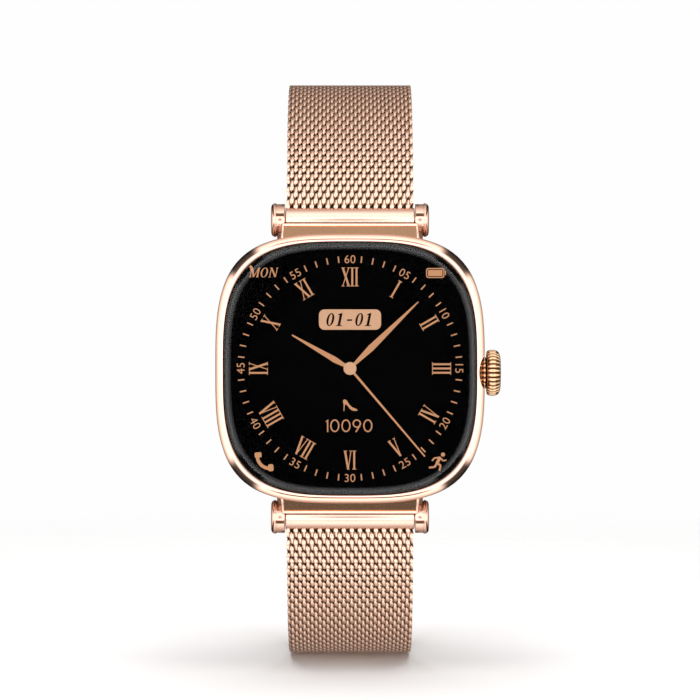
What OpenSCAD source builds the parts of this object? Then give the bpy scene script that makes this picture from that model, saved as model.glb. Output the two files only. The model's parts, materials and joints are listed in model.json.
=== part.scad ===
// Square wrist watch with a lit dial, a turning crown and a woven metal strap.
// The face looks along -Y, +X is the crown side and +Z is twelve o'clock.
// The origin is the centre of the flat sensor window on the back of the case.

/* [Case] */
// Width and height of the case
case_width = 36.9; // [36.5:0.1:37.5]
// Power of the superellipse that the case follows
case_power = 3.5; // [3.2:0.1:4]
// Thickness from the sensor window to the glass
case_depth = 10.5; // [10.5:0.1:11]
// Width of the cover glass
glass_width = 34.7; // [34.4:0.1:34.8]
// Power of the superellipse that the glass follows
glass_power = 3.1; // [3:0.1:3.3]
// Radius of the sensor window
window_r = 8; // [7:0.5:9]

/* [Crown] */
// Radius of the fluted crown drum
crown_r = 3.2; // [2.9:0.1:3.4]
// Number of flutes round the crown
crown_flutes = 26; // [20:1:30]
// Height of the crown above the middle of the case
crown_z = -0.6; // [-1:0.1:0]
// How far the crown presses in
crown_travel = 0.4; // [0.3:0.05:0.4]

/* [Lugs] */
// Distance between the inner faces of the lug ears, the strap size
lug_gap = 18; // [17.8:0.1:18.2]
// Height of the lug axis above the middle of the case
lug_z = 20.54; // [20.5:0.01:20.8]
// Depth of the lug axis in front of the sensor window
lug_depth = 5.2; // [5:0.1:5.3]
// Radius of the lug ears
ear_r = 2.33; // [2.1:0.01:2.4]

/* [Strap] */
// Thickness of the woven strap
mesh_t = 1.35; // [1.2:0.05:1.4]
// Width of the woven strap
mesh_width = 17.6; // [17:0.1:17.7]
// Radius of the two bends of the closed strap
bend_r = 23.3; // [22.5:0.1:24]
// Height of the centre of each bend
bend_z = 17.6; // [17:0.1:18]
// Radius of the tube at the case end of each strap half
tube_r = 1.7; // [1.65:0.01:1.72]

/* [Clasp] */
// Length of the magnet tab beyond its hinge
tab_length = 19.35; // [18:0.05:20]
// Thickness of the magnet tab
tab_t = 2.2; // [2.1:0.1:2.4]
// Gap between the tab and the strap end under it
lap_gap = 0.31; // [0.3:0.01:0.4]

/* [Hidden] */
$fn = 64;

rose = "#d8a58a";
rose_dark = "#b98468";
dark = "#2b2b2f";
steel = "#b9bcc0";
board_green = "#1f5a3c";

cut = 0.02;                              // how far a cutter runs past the face it opens

// Case, in its own frame: x right, y up the dial, z towards the glass
case_half = case_width / 2;
case_bottom = 1.2;                       // back edge of the metal case
case_waist = 4.6;                        // where the taper of the case wall ends
case_top = 8.2;                          // seat of the bezel ring
taper_scale = 0.925;                     // size of the back edge against the waist
cavity_half = 16.1;
cavity_power = 3.35;
bezel_half = case_half - 0.15;
bezel_power = 3.35;
bezel_rim = 10;                          // front edge of the bezel ring
ledge_half = 16.6;                       // inside of the ledge under the glass
glass_half = glass_width / 2;
glass_bottom = 9.15;
ledge_top = 9.0;
bezel_bore_half = glass_half + 0.05;

cover_half = 16.9;                       // flange of the back cover
spigot_half = cavity_half - 0.05;
flange_back = 0.45;
spigot_top = 2.1;
screw_place = 12.1;
magnet_x = 7.6;
magnet_y = -10.9;
contact_x = 3;
contact_y = -11.6;

deck_low = 6.2;
deck_top = 6.8;
board_top = 7.45;
battery_size = [19, 20.4, 3.4];
battery_x = -3.4;

// Crown
lug_y = -lug_depth;
drum_inner = 18.88;                      // face of the drum next to the case
drum_outer = 20.84;
collar_r = 2.42;
collar_inner = 17.75;
stem_r = 1;
stem_tip = 13.4;
washer_x = 13.9;
washer_t = 0.4;
tube_bore_r = stem_r + 0.05;
recess_floor = collar_inner - crown_travel - 0.1;

// Lugs and spring bars
ear_inner = lug_gap / 2;
ear_outer = ear_inner + 1.9;
foot_in = 16.9;                          // inner face of the lug foot in the case wall
foot_out = 18.55;                        // outer face of the lug foot, clear of the tube
tip_r = 0.45;
tip_hole_r = tip_r + 0.05;
tip_reach = 0.8;
bar_half = ear_inner - 0.8;
sleeve_r = 0.9;
sleeve_bore_r = 0.62;
shoulder_r = 0.57;
tube_half = ear_inner - 0.1;
release_x = -6.6;
release_travel = 0.9;
lug_screw_x = 5;
lug_screw_r = 0.45;

// Strap path: an arc from each lug, then a straight back
bend_y = lug_y + sqrt(pow(bend_r, 2) - pow(lug_z - bend_z, 2));
back_y = bend_y + bend_r;
mesh_half = mesh_width / 2;
upper_end_z = 0.9;
lower_end_z = 4.6;
tab_y = back_y + mesh_t / 2 + lap_gap;   // inner face of the magnet tab
pin_y = tab_y + tab_t / 2;
pin_z = -2.2;
knuckle_r = tab_t / 2;
joggle = tab_y - back_y + mesh_t / 2;    // outward shift of the lapping half
tab_half = 8.7;
tab_start = pin_z + knuckle_r + 0.25;
tab_end = tab_start + tab_length;
middle_knuckle = 3;
side_knuckle = middle_knuckle + 0.2;

// ---------- helpers ----------

// Outline of a superellipse, as points at even angles
function squircle(half, power) = [
  for (a = [0 : 3.75 : 359])
    let (r = half / pow(pow(abs(cos(a)), power) + pow(abs(sin(a)), power), 1 / power))
      [r * cos(a), r * sin(a)]
];

// Turns the case frame (z towards the glass) into the part's frame
module case_frame() {
  rotate([90, 0, 0]) children();
}

module slab(half, power, low, high) {
  translate([0, 0, low]) linear_extrude(high - low) polygon(squircle(half, power));
}

module squircle_ring(outer, outer_power, inner, inner_power, low, high) {
  difference() {
    slab(outer, outer_power, low, high);
    slab(inner, inner_power, low - cut, high + cut);
  }
}

// Block between two corners
module block(low, high) {
  translate(low) cube(high - low);
}

// Cylinder along X between two stations
module rod_x(x0, x1, r) {
  translate([x0, 0, 0]) rotate([0, 90, 0]) cylinder(h = x1 - x0, r = r);
}

// Prism along X whose outline is given as [y, z] points
module across(points, half) {
  rotate([90, 0, 90]) linear_extrude(2 * half, center = true) polygon(points);
}

// Solid of revolution about X, outline as [radius, x]
module turned_x(points) {
  rotate([0, 90, 0]) rotate_extrude() polygon(points);
}

module rounded_plate(size, r, t) {
  linear_extrude(t) union() {
    square([size[0] - 2 * r, size[1]], center = true);
    square([size[0], size[1] - 2 * r], center = true);
    for (sx = [-1, 1], sy = [-1, 1]) {
      translate([sx * (size[0] / 2 - r), sy * (size[1] / 2 - r)]) circle(r);
    }
  }
}

module at_lug() {
  translate([0, lug_y, lug_z]) children();
}

module at_crown() {
  translate([0, lug_y, crown_z]) children();
}

// ---------- case ----------

// Foot of a lug, let into the case wall; also cuts the pocket for it
module lug_foot() {
  case_frame() {
    block([-ear_outer, foot_in, 2.9], [ear_outer, foot_out, 6.3]);
    block([-ear_inner - 0.25, foot_in, 6.3], [ear_inner + 0.25, foot_out, case_top]);
  }
}

module lug_screw_holes() {
  for (x = [-lug_screw_x, lug_screw_x]) {
    translate([x, lug_y + 0.6, 15.5]) cylinder(h = 3, r = lug_screw_r + 0.05);
    translate([x, lug_y + 0.6, 15.5]) cylinder(h = 1, r = 0.85);
  }
}

module mid_case() {
  color(rose) difference() {
    case_frame() {
      slab(case_half, case_power, case_waist, case_top);
      translate([0, 0, case_waist]) mirror([0, 0, 1])
        linear_extrude(case_waist - case_bottom, scale = taper_scale)
          polygon(squircle(case_half, case_power));
    }
    case_frame() slab(cavity_half, cavity_power, 0, case_top + 1);
    at_crown() {
      rod_x(recess_floor, case_half + 1, collar_r + 0.15);
      rod_x(cavity_half - 2, case_half + 1, 1.5);
    }
    for (side = [0, 1]) mirror([0, 0, side]) {
      lug_foot();
      lug_screw_holes();
    }
  }
}

module bezel_ring() {
  color(rose) case_frame() difference() {
    union() {
      slab(bezel_half, bezel_power, case_top, 9.2);
      translate([0, 0, 9.2]) linear_extrude(bezel_rim - 9.2, scale = 0.968)
        polygon(squircle(bezel_half, bezel_power));
    }
    slab(bezel_bore_half, glass_power, ledge_top, bezel_rim + 1);
    slab(ledge_half, glass_power, case_top - 1, bezel_rim);
  }
}

module cover_glass() {
  rim = 9.9;                             // where the curved edge of the glass starts
  color("#101014") case_frame() union() {
    slab(glass_half, glass_power, glass_bottom, rim);
    translate([0, 0, rim]) linear_extrude(case_depth - rim, scale = 0.96)
      polygon(squircle(glass_half, glass_power));
  }
}

module glass_gasket() {
  color(dark) case_frame()
    squircle_ring(glass_half, glass_power, ledge_half + 0.1, glass_power, ledge_top, glass_bottom);
}

module display_panel() {
  color("#050507") case_frame() slab(16.4, glass_power, 8.35, glass_bottom);
}

module display_flex() {
  ribbon_t = 0.12;
  color("#c87a2c") case_frame() across([
    [-14.3, board_top], [-14.3, 8.35], [-10, 8.35], [-10, 8.35 - ribbon_t],
    [-14.3 + ribbon_t, 8.35 - ribbon_t], [-14.3 + ribbon_t, board_top]
  ], 3);
}

module inner_chassis() {
  color("#3a3a40") case_frame() difference() {
    union() {
      squircle_ring(15.9, cavity_power, 15.1, cavity_power, 2.3, 8.1);
      slab(15.5, cavity_power, deck_low, deck_top);
      for (sx = [-1, 1], sy = [-1, 1]) {
        translate([sx * screw_place, sy * screw_place, 2.3]) cylinder(h = 4, r = 1.2);
      }
    }
    for (sx = [-1, 1], sy = [-1, 1]) {
      translate([sx * screw_place, sy * screw_place, 2]) cylinder(h = 2.5, r = 0.5);
    }
    block([10.8, crown_z - 3.1, 2], [16, crown_z + 3.1, 8.2]);
    block([-14.7, -2.6, 2], [-13.9, 2.6, 8.2]);
  }
}

module main_board() {
  color(board_green) case_frame() difference() {
    slab(14.9, cavity_power, deck_top, board_top);
    block([11, crown_z - 2, 6], [16, crown_z + 2, 8]);
    block([-16, -2.6, 6], [-13.9, 2.6, 8]);
  }
}

module board_chips() {
  chips = [
    [-5, 3.5, 8, 8, 0.7], [5.5, 4, 6, 7.5, 0.7], [4.5, -4.5, 5, 4, 0.6],
    [-6, -6, 4, 4, 0.5], [-0.8, -8.6, 3, 2, 0.5]
  ];
  color("#18181b") case_frame() for (c = chips) {
    translate([c[0] - c[2] / 2, c[1] - c[3] / 2, board_top]) cube([c[2], c[3], c[4]]);
  }
}

module battery() {
  color("#c9ccd1") case_frame()
    translate([battery_x, 0, 2.7]) rounded_plate([battery_size[0], battery_size[1]], 1.2, battery_size[2]);
}

module vibration_motor() {
  color(steel) case_frame() translate([9.4, -8.2, 2.8]) cylinder(h = 2.9, r = 3);
}

module speaker() {
  color("#45454a") case_frame() difference() {
    block([6.6, 4.2, 2.8], [12.4, 10.6, 5.8]);
    for (i = [0 : 3]) {
      translate([7.9 + 1.1 * i, 9.8, 4]) rotate([-90, 0, 0]) cylinder(h = 2, r = 0.35);
    }
  }
}

module microphone() {
  color("#caa85a") case_frame() block([-1.5, -14.2, 5], [1.5, -12.2, 6.1]);
}

module antenna() {
  color("#b87333") case_frame() difference() {
    squircle_ring(15.9, cavity_power, 15.2, cavity_power, 8.1, 8.25);
    block([-3.2, -17, 8], [3.2, -14, 9]);
    block([10.8, crown_z - 3.1, 8], [17, crown_z + 3.1, 9]);
  }
}

module sensor_board() {
  color(board_green) case_frame() translate([0, 0, 1.55]) cylinder(h = 0.5, r = window_r - 0.8);
}

module sensor_flex() {
  ribbon_t = 0.12;
  color("#c87a2c") case_frame() rotate([0, 0, 90]) across([
    [6.5, 2.05], [14.3, 2.05], [14.3, deck_top], [14.3 - ribbon_t, deck_top],
    [14.3 - ribbon_t, 2.05 + ribbon_t], [6.5, 2.05 + ribbon_t]
  ], 2);
}

module heart_leds() {
  color("#4fd06a") case_frame() for (x = [-1.2, 1.2]) {
    block([x - 0.6, -0.6, 1.2], [x + 0.6, 0.6, 1.55]);
  }
}

module photodiodes() {
  color("#22242c") case_frame() for (a = [45 : 90 : 359]) {
    rotate([0, 0, a]) block([3.6, -0.9, 1.2], [5.4, 0.9, 1.55]);
  }
}

module sensor_window() {
  color("#1a1c22") case_frame() {
    cylinder(h = 0.3, r1 = window_r - 0.5, r2 = window_r);
    translate([0, 0, 0.3]) cylinder(h = 0.9, r = window_r);
  }
}

module back_cover() {
  color("#3b3b40") case_frame() difference() {
    union() {
      slab(cover_half, cavity_power, flange_back, case_bottom);
      slab(spigot_half, cavity_power, case_bottom, spigot_top);
    }
    translate([0, 0, -1]) cylinder(h = 4, r = window_r);
    translate([0, 0, 1.2]) cylinder(h = 2, r = window_r + 0.6);
    difference() {
      slab(spigot_half + 1, cavity_power, 1.45, 1.8);
      slab(spigot_half - 0.35, cavity_power, 1.4, 1.85);
    }
    for (sx = [-1, 1], sy = [-1, 1]) translate([sx * screw_place, sy * screw_place, 0]) {
      cylinder(h = 3, r = 0.55);
      cylinder(h = 1.05, r = 0.95);
    }
    for (sx = [-1, 1]) {
      translate([sx * contact_x, contact_y, 0]) cylinder(h = 3, r = 0.9);
      translate([sx * magnet_x, magnet_y, 1.2]) cylinder(h = 3, r = 1.5);
    }
    block([-14.5, -2.4, 1.9], [-6, 2.4, 3]);
  }
}

module back_gasket() {
  color(dark) case_frame()
    squircle_ring(cavity_half, cavity_power, spigot_half - 0.35, cavity_power, 1.45, 1.8);
}

module back_screws() {
  color(steel) case_frame() for (sx = [-1, 1], sy = [-1, 1]) {
    translate([sx * screw_place, sy * screw_place, 0.5]) difference() {
      union() {
        cylinder(h = 0.55, r = 0.93);
        cylinder(h = 3.6, r = 0.48);
      }
      translate([-0.6, -0.11, -cut]) cube([1.2, 0.22, 0.25 + cut]);
    }
  }
}

module charging_contacts() {
  color("#e0c070") case_frame() for (sx = [-1, 1]) {
    translate([sx * contact_x, contact_y, flange_back]) cylinder(h = spigot_top - flange_back, r = 0.88);
  }
}

module charger_magnets() {
  color(steel) case_frame() for (sx = [-1, 1]) {
    translate([sx * magnet_x, magnet_y, 1.2]) cylinder(h = spigot_top - 1.2, r = 1.48);
  }
}

// ---------- crown ----------

module crown_tube() {
  color(steel) at_crown() difference() {
    union() {
      rod_x(14.9, recess_floor, 1.5);
      rod_x(14.9, 15.3, 2.1);
    }
    rod_x(14, recess_floor + 1, tube_bore_r);
  }
}

module side_switch() {
  color("#2a2a2e") at_crown() {
    block([11.2, -1.4, -2.2], [12.4, 1.4, 2.2]);
    rod_x(12.4, stem_tip - crown_travel - 0.02, 0.6);
  }
}

module crown_encoder() {
  color("#36363c") at_crown() block([12.6, -1.1, 1.75], [14.2, 1.3, 2.8]);
}

module thrust_washer() {
  color(steel) at_crown() difference() {
    rod_x(washer_x, washer_x + washer_t, 1.5);
    rod_x(washer_x - 1, washer_x + 1, stem_r - 0.05);
  }
}

module crown_stem() {
  color(steel) at_crown() turned_x([
    [0, stem_tip], [1.25, stem_tip], [1.25, washer_x - 0.03], [stem_r - 0.1, washer_x - 0.03],
    [stem_r - 0.1, washer_x + washer_t + 0.03], [stem_r, washer_x + washer_t + 0.03],
    [stem_r, 16.2], [stem_r - 0.25, 16.2], [stem_r - 0.25, 16.62], [stem_r, 16.62],
    [stem_r, 19.6], [0, 19.6]
  ]);
}

module crown_seal() {
  color(dark) at_crown() turned_x([
    [stem_r - 0.25, 16.24], [stem_r + 0.02, 16.24], [stem_r + 0.02, 16.58], [stem_r - 0.25, 16.58]
  ]);
}

module crown_collar() {
  color(rose_dark) at_crown() difference() {
    rod_x(collar_inner, drum_inner, collar_r);
    rod_x(collar_inner - 1, drum_inner + 1, stem_r);
  }
}

module crown_cap() {
  color(rose) at_crown() difference() {
    turned_x([
      [0, drum_inner], [2.7, drum_inner], [3.05, 19.15], [crown_r, 19.6], [crown_r, 19.95],
      [2.98, 20.4], [2.55, 20.7], [2.2, drum_outer], [0, drum_outer]
    ]);
    for (i = [0 : crown_flutes - 1]) {
      rotate([i * 360 / crown_flutes, 0, 0]) translate([0, 0, crown_r + 0.16])
        rod_x(drum_inner - 1, drum_outer - 0.25, 0.3, $fn = 16);
    }
    rod_x(drum_inner - 1, 19.6, stem_r);
  }
}

// ---------- lugs ----------

// One lug frame: a foot in the case wall, two drum ears and a slanted hood plate
module lug_frame() {
  hood_edge = 19.9;
  difference() {
    union() {
      lug_foot();
      case_frame() across([
        [foot_in + 0.5, 7], [hood_edge - 0.9, 6.95], [hood_edge, 6.98], [hood_edge, 7.32],
        [foot_out, 8], [foot_out - 0.3, case_top], [foot_in + 0.5, case_top]
      ], ear_inner + 0.25);
      for (side = [0, 1]) mirror([side, 0, 0]) {
        translate([0, lug_y, lug_z]) turned_x([
          [0, ear_inner], [ear_r, ear_inner], [ear_r, ear_outer - 0.5],
          [ear_r - 0.12, ear_outer - 0.2], [ear_r - 0.5, ear_outer], [0, ear_outer]
        ]);
        case_frame() block([ear_inner, foot_in, 2.9], [ear_outer, lug_z, 6.3]);
      }
    }
    at_lug() for (side = [0, 1]) mirror([side, 0, 0])
      rod_x(ear_inner - 1, ear_inner + tip_reach + 0.2, tip_hole_r);
    at_lug() rod_x(-ear_inner, ear_inner, tube_r + 0.15);
    for (x = [-lug_screw_x, lug_screw_x]) {
      translate([x, lug_y + 0.6, foot_in - cut]) cylinder(h = 1.3, r = lug_screw_r);
    }
  }
}

module lug_upper() {
  color(rose) lug_frame();
}

module lug_lower() {
  color(rose) mirror([0, 0, 1]) lug_frame();
}

module lug_screws() {
  color(steel) for (side = [0, 1], x = [-lug_screw_x, lug_screw_x]) mirror([0, 0, side]) {
    translate([x, lug_y + 0.6, 16.1]) difference() {
      union() {
        cylinder(h = 0.4, r = 0.8);
        cylinder(h = 2, r = lug_screw_r);
      }
      translate([-0.5, -0.1, -cut]) cube([1, 0.2, 0.2 + cut]);
    }
  }
}

// ---------- strap halves ----------

// Point on the bend, at an angle from the front and a radius
function bend_point(a, r) = [bend_y - r * cos(a), bend_z + r * sin(a)];

// Outward shift of the straight back, from none at the bend to the full joggle
function shift(z, full, end_z) =
  let (t = (bend_z - z) / (bend_z - end_z)) full * t * t * (3 - 2 * t);

// Woven band of one half, as a closed outline from the tube to its end
module mesh_band(full, end_z) {
  start = 10;
  stations = [for (i = [1 : 12]) bend_z + (end_z - bend_z) * i / 12];
  outer = [
    for (a = [start : 2.5 : 180]) bend_point(a, bend_r + mesh_t / 2),
    for (z = stations) [back_y + mesh_t / 2 + shift(z, full, end_z), z]
  ];
  inner = [
    for (i = [12 : -1 : 1]) [back_y - mesh_t / 2 + shift(stations[i - 1], full, end_z), stations[i - 1]],
    for (a = [180 : -2.5 : start]) bend_point(a, bend_r - mesh_t / 2)
  ];
  difference() {
    across(concat(outer, inner), mesh_half);
    at_lug() rod_x(-ear_inner, ear_inner, tube_r);
  }
}

module strap_tube() {
  at_lug() difference() {
    rod_x(-tube_half, tube_half, tube_r);
    rod_x(-ear_inner, ear_inner, sleeve_r + 0.02);
    block([release_x - tip_r - 0.1, 0, -0.55], [release_x + tip_r + release_travel + 0.1, 3, 0.55]);
  }
}

module bar_sleeve() {
  at_lug() difference() {
    rod_x(-bar_half, bar_half, sleeve_r);
    rod_x(-bar_half + 0.3, bar_half - 0.3, sleeve_bore_r);
    rod_x(-bar_half - 1, bar_half + 1, tip_hole_r);
    block([release_x - tip_r - 0.1, 0, -0.55], [release_x + tip_r + release_travel + 0.1, 3, 0.55]);
  }
}

module fixed_tip() {
  at_lug() {
    rod_x(1.6, bar_half - 0.3, sleeve_bore_r);
    rod_x(bar_half - 0.3, ear_inner + tip_reach, tip_r);
  }
}

module bar_spring() {
  ring_pitch = 0.75;
  at_lug() for (i = [0 : 7]) {
    translate([-4.25 + i * ring_pitch, 0, 0]) rotate([0, 90, 0])
      rotate_extrude($fn = 32) translate([0.44, 0]) circle(0.13, $fn = 16);
  }
}

module release_tip() {
  at_lug() {
    rod_x(-ear_inner - tip_reach, -bar_half + 0.35, tip_r);
    rod_x(-bar_half + 0.35, -4.5, shoulder_r);
    translate([release_x, 0, 0]) rotate([-90, 0, 0]) cylinder(h = 2.7, r = tip_r);
    translate([release_x, 1.85, 0]) rotate([-90, 0, 0]) cylinder(h = 0.85, r = 0.8);
  }
}

module upper_tube() {
  color(rose) strap_tube();
}

module upper_mesh() {
  color("#cfa48c") mesh_band(0, upper_end_z);
}

module upper_end_cap() {
  color(rose_dark) across([
    [back_y + mesh_t / 2, 0.5], [back_y + mesh_t / 2, upper_end_z], [back_y - mesh_t / 2, upper_end_z],
    [back_y - mesh_t / 2, 3], [back_y - mesh_t / 2 - 0.2, 3], [back_y - mesh_t / 2 - 0.2, 0.5]
  ], mesh_half);
}

module upper_bar_sleeve() {
  color(steel) bar_sleeve();
}

module upper_fixed_tip() {
  color(steel) fixed_tip();
}

module upper_bar_spring() {
  color(steel) bar_spring();
}

module upper_release_tip() {
  color(steel) release_tip();
}

module lower_tube() {
  color(rose) mirror([0, 0, 1]) strap_tube();
}

module lower_mesh() {
  color("#cfa48c") mirror([0, 0, 1]) mesh_band(joggle, lower_end_z);
}

module lower_bar_sleeve() {
  color(steel) mirror([0, 0, 1]) bar_sleeve();
}

module lower_fixed_tip() {
  color(steel) mirror([0, 0, 1]) fixed_tip();
}

module lower_bar_spring() {
  color(steel) mirror([0, 0, 1]) bar_spring();
}

module lower_release_tip() {
  color(steel) mirror([0, 0, 1]) release_tip();
}

// ---------- clasp ----------

module at_pin() {
  translate([0, pin_y, pin_z]) children();
}

// Clamp on the end of the lower half, with the two outer hinge knuckles
module lower_end_clamp() {
  lip = 0.15;
  top = pin_z - knuckle_r - 0.4;
  color(rose_dark) difference() {
    union() {
      block([-mesh_half, tab_y - lip, -lower_end_z - 0.9], [mesh_half, tab_y + tab_t - 0.2, top]);
      at_pin() for (side = [0, 1]) mirror([side, 0, 0]) {
        rod_x(side_knuckle, mesh_half, knuckle_r);
        block([side_knuckle, -knuckle_r, top - pin_z], [mesh_half, knuckle_r - 0.2, 0]);
      }
    }
    translate([0, joggle, 0]) block(
      [-mesh_half - 1, back_y - mesh_t / 2 - 0.04, -lower_end_z - 2],
      [mesh_half + 1, back_y + mesh_t / 2, -lower_end_z]
    );
    at_pin() rod_x(-mesh_half - 1, mesh_half + 1, 0.5);
  }
}

module tab_hinge_pin() {
  color(steel) at_pin() rod_x(-mesh_half + 0.1, mesh_half - 0.1, 0.5);
}

module tab_shell() {
  color(rose) difference() {
    union() {
      translate([0, tab_y + tab_t, (tab_start + tab_end) / 2]) rotate([90, 0, 0])
        rounded_plate([2 * tab_half, tab_length], 1.6, tab_t);
      at_pin() {
        rod_x(-middle_knuckle, middle_knuckle, knuckle_r);
        block([-middle_knuckle, -knuckle_r, 0], [middle_knuckle, knuckle_r, tab_start - pin_z + 1]);
      }
    }
    at_pin() rod_x(-middle_knuckle - 1, middle_knuckle + 1, 0.55);
    block([-7.6, tab_y - 1, tab_start + 1.4], [7.6, tab_y + 1.4, tab_end - 1.4]);
    block([-7.9, tab_y - 1, tab_start + 1.1], [7.9, tab_y + 0.2, tab_end - 1.1]);
  }
}

module tab_magnets() {
  magnet = [4.9, 1.2, 7.6];
  middle = (tab_start + tab_end) / 2;
  color(steel) for (i = [-1, 0, 1], k = [-1, 1]) {
    translate([i * 5.05 - magnet[0] / 2, tab_y + 0.2, middle + k * 4 - magnet[2] / 2]) cube(magnet);
  }
}

module tab_plate() {
  color(rose_dark) block([-7.85, tab_y, tab_start + 1.15], [7.85, tab_y + 0.2, tab_end - 1.15]);
}

mid_case();
bezel_ring();
cover_glass();
glass_gasket();
display_panel();
display_flex();
inner_chassis();
main_board();
board_chips();
battery();
vibration_motor();
speaker();
microphone();
antenna();
sensor_board();
sensor_flex();
heart_leds();
photodiodes();
sensor_window();
back_cover();
back_gasket();
back_screws();
charging_contacts();
charger_magnets();
crown_tube();
side_switch();
crown_encoder();
lug_upper();
lug_lower();
lug_screws();
thrust_washer();
crown_cap();
crown_collar();
crown_stem();
crown_seal();
upper_tube();
upper_mesh();
upper_end_cap();
upper_bar_sleeve();
upper_fixed_tip();
upper_bar_spring();
upper_release_tip();
lower_tube();
lower_mesh();
lower_end_clamp();
lower_bar_sleeve();
lower_fixed_tip();
lower_bar_spring();
lower_release_tip();
tab_hinge_pin();
tab_shell();
tab_magnets();
tab_plate();
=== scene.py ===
# %% [markdown]
# # A square smartwatch on a woven metal band
# The watch stands closed, as it is worn, with its dial towards -Y, twelve o'clock towards +Z and
# its crown towards +X. The CAD model gives every place and size. The pieces that are seen are
# modelled again here, because the coarse CAD skins would show in the mirror-like metal.

# %% Load the fixed frame
import json
import math

import bmesh
import bpy
from mathutils import Matrix, Vector


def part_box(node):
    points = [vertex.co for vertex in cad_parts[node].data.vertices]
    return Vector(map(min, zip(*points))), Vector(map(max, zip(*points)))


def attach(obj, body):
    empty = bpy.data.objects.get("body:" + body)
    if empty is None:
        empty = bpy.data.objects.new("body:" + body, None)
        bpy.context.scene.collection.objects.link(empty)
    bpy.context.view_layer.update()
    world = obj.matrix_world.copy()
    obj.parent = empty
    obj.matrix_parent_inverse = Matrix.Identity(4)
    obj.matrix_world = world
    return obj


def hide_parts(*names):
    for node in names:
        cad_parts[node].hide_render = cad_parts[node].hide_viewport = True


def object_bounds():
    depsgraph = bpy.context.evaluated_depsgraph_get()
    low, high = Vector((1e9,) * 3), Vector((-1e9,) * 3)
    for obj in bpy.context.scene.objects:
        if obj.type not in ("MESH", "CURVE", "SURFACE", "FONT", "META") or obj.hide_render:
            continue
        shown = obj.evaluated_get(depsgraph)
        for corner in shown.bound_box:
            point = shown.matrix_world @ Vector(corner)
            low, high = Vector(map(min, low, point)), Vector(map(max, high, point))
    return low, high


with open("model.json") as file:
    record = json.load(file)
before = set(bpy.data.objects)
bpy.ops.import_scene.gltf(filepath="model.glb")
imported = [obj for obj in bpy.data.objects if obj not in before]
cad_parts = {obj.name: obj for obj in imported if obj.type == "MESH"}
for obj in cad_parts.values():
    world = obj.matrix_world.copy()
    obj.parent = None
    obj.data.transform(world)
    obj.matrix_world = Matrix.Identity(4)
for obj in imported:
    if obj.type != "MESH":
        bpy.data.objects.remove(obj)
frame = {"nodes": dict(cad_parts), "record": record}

cad_box = [list(corner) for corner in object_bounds()]
MM = 0.001

# %% [markdown]
# ## Where things are
# The boxes of the CAD nodes give the levels of the case. They are kept in millimetres. Case pieces
# are modelled lying on their back, so that height is the distance from the wrist to the glass, and
# are stood up at the end.

# %% Sizes read from the frame
def node_box(node):
    """Lowest and highest corner of a CAD node, in millimetres."""
    low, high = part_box(node)
    return low / MM, high / MM


def half_width(node):
    """Half the width of a CAD node from side to side."""
    low, high = node_box(node)
    return (high.x - low.x) / 2


case_low, case_high = node_box("mid_case")
case_half = half_width("mid_case")
case_back, case_front = -case_high.y, -case_low.y
bezel_half = case_half
bezel_rim = -node_box("bezel_ring")[0].y
glass_half = half_width("cover_glass")
glass_low, glass_high = -node_box("cover_glass")[1].y, -node_box("cover_glass")[0].y
display_half = half_width("display_panel")
display_low = -node_box("display_panel")[1].y
tube_low, tube_high = node_box("upper_tube")
lug_y = (tube_low.y + tube_high.y) / 2
tube_r = (tube_high.y - tube_low.y) / 2
lug_z = tube_low.z + tube_r
lug_high = node_box("lug_upper")[1]
ear_r = lug_high.z - lug_z
ear_inner = tube_high.x + 0.1
crown_low, crown_high = node_box("crown_cap")
crown_z = (crown_low.z + crown_high.z) / 2
crown_r = (crown_high.z - crown_low.z) / 2
collar_low, collar_high = node_box("crown_collar")
collar_r = (collar_high.z - collar_low.z) / 2
print(f"case half {case_half:.2f}, glass {glass_low:.2f} to {glass_high:.2f}")
print(f"lug axis y {lug_y:.2f} z {lug_z:.2f}, crown radius {crown_r:.2f}")

# %% [markdown]
# ## Camera
# A product shot like this is taken with a long lens from straight in front. The band's rows show
# how much smaller its far side looks, and that puts the lens about 0.38 m from the lugs. The lens
# is shifted up a little, so that the watch sits just under the middle.

# %% Camera
LENS_DISTANCE = 375 * MM
VIEW_WIDTH = 96.9 * MM
SENSOR = 36.0
SHIFT_UP = 0.0264
camera_data = bpy.data.cameras.new("camera")
camera_data.sensor_width = SENSOR
camera_data.lens = SENSOR * LENS_DISTANCE / VIEW_WIDTH
camera_data.shift_y = SHIFT_UP
camera = bpy.data.objects.new("camera", camera_data)
camera.location = (0, lug_y * MM - LENS_DISTANCE, 0)
camera.rotation_euler = (math.radians(90), 0, 0)
bpy.context.scene.collection.objects.link(camera)
bpy.context.scene.camera = camera
bpy.context.scene.view_settings.view_transform = "Standard"
print(f"lens {camera_data.lens:.0f} mm")

# %% [markdown]
# ## Shader maths
# A node tree is easier to read as sums. `Wire` wraps a socket, so that `wire * 2 + 1` adds the
# Math nodes. `Finish` starts a material and its shader, and has one method for every other node.

# %% Shader helpers
class Wire:
    """A number that varies over the surface, to be used in sums."""

    def __init__(self, finish, socket):
        self.finish = finish
        self.socket = socket

    def maths(self, operation, *values):
        return self.finish.node("ShaderNodeMath", {"operation": operation}, *values)

    def __add__(self, other):
        return self.maths("ADD", self, other)

    def __radd__(self, other):
        return self.maths("ADD", other, self)

    def __sub__(self, other):
        return self.maths("SUBTRACT", self, other)

    def __rsub__(self, other):
        return self.maths("SUBTRACT", other, self)

    def __mul__(self, other):
        return self.maths("MULTIPLY", self, other)

    def __rmul__(self, other):
        return self.maths("MULTIPLY", other, self)

    def __truediv__(self, other):
        return self.maths("DIVIDE", self, other)

    def __pow__(self, other):
        return self.maths("POWER", self, other)


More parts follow.
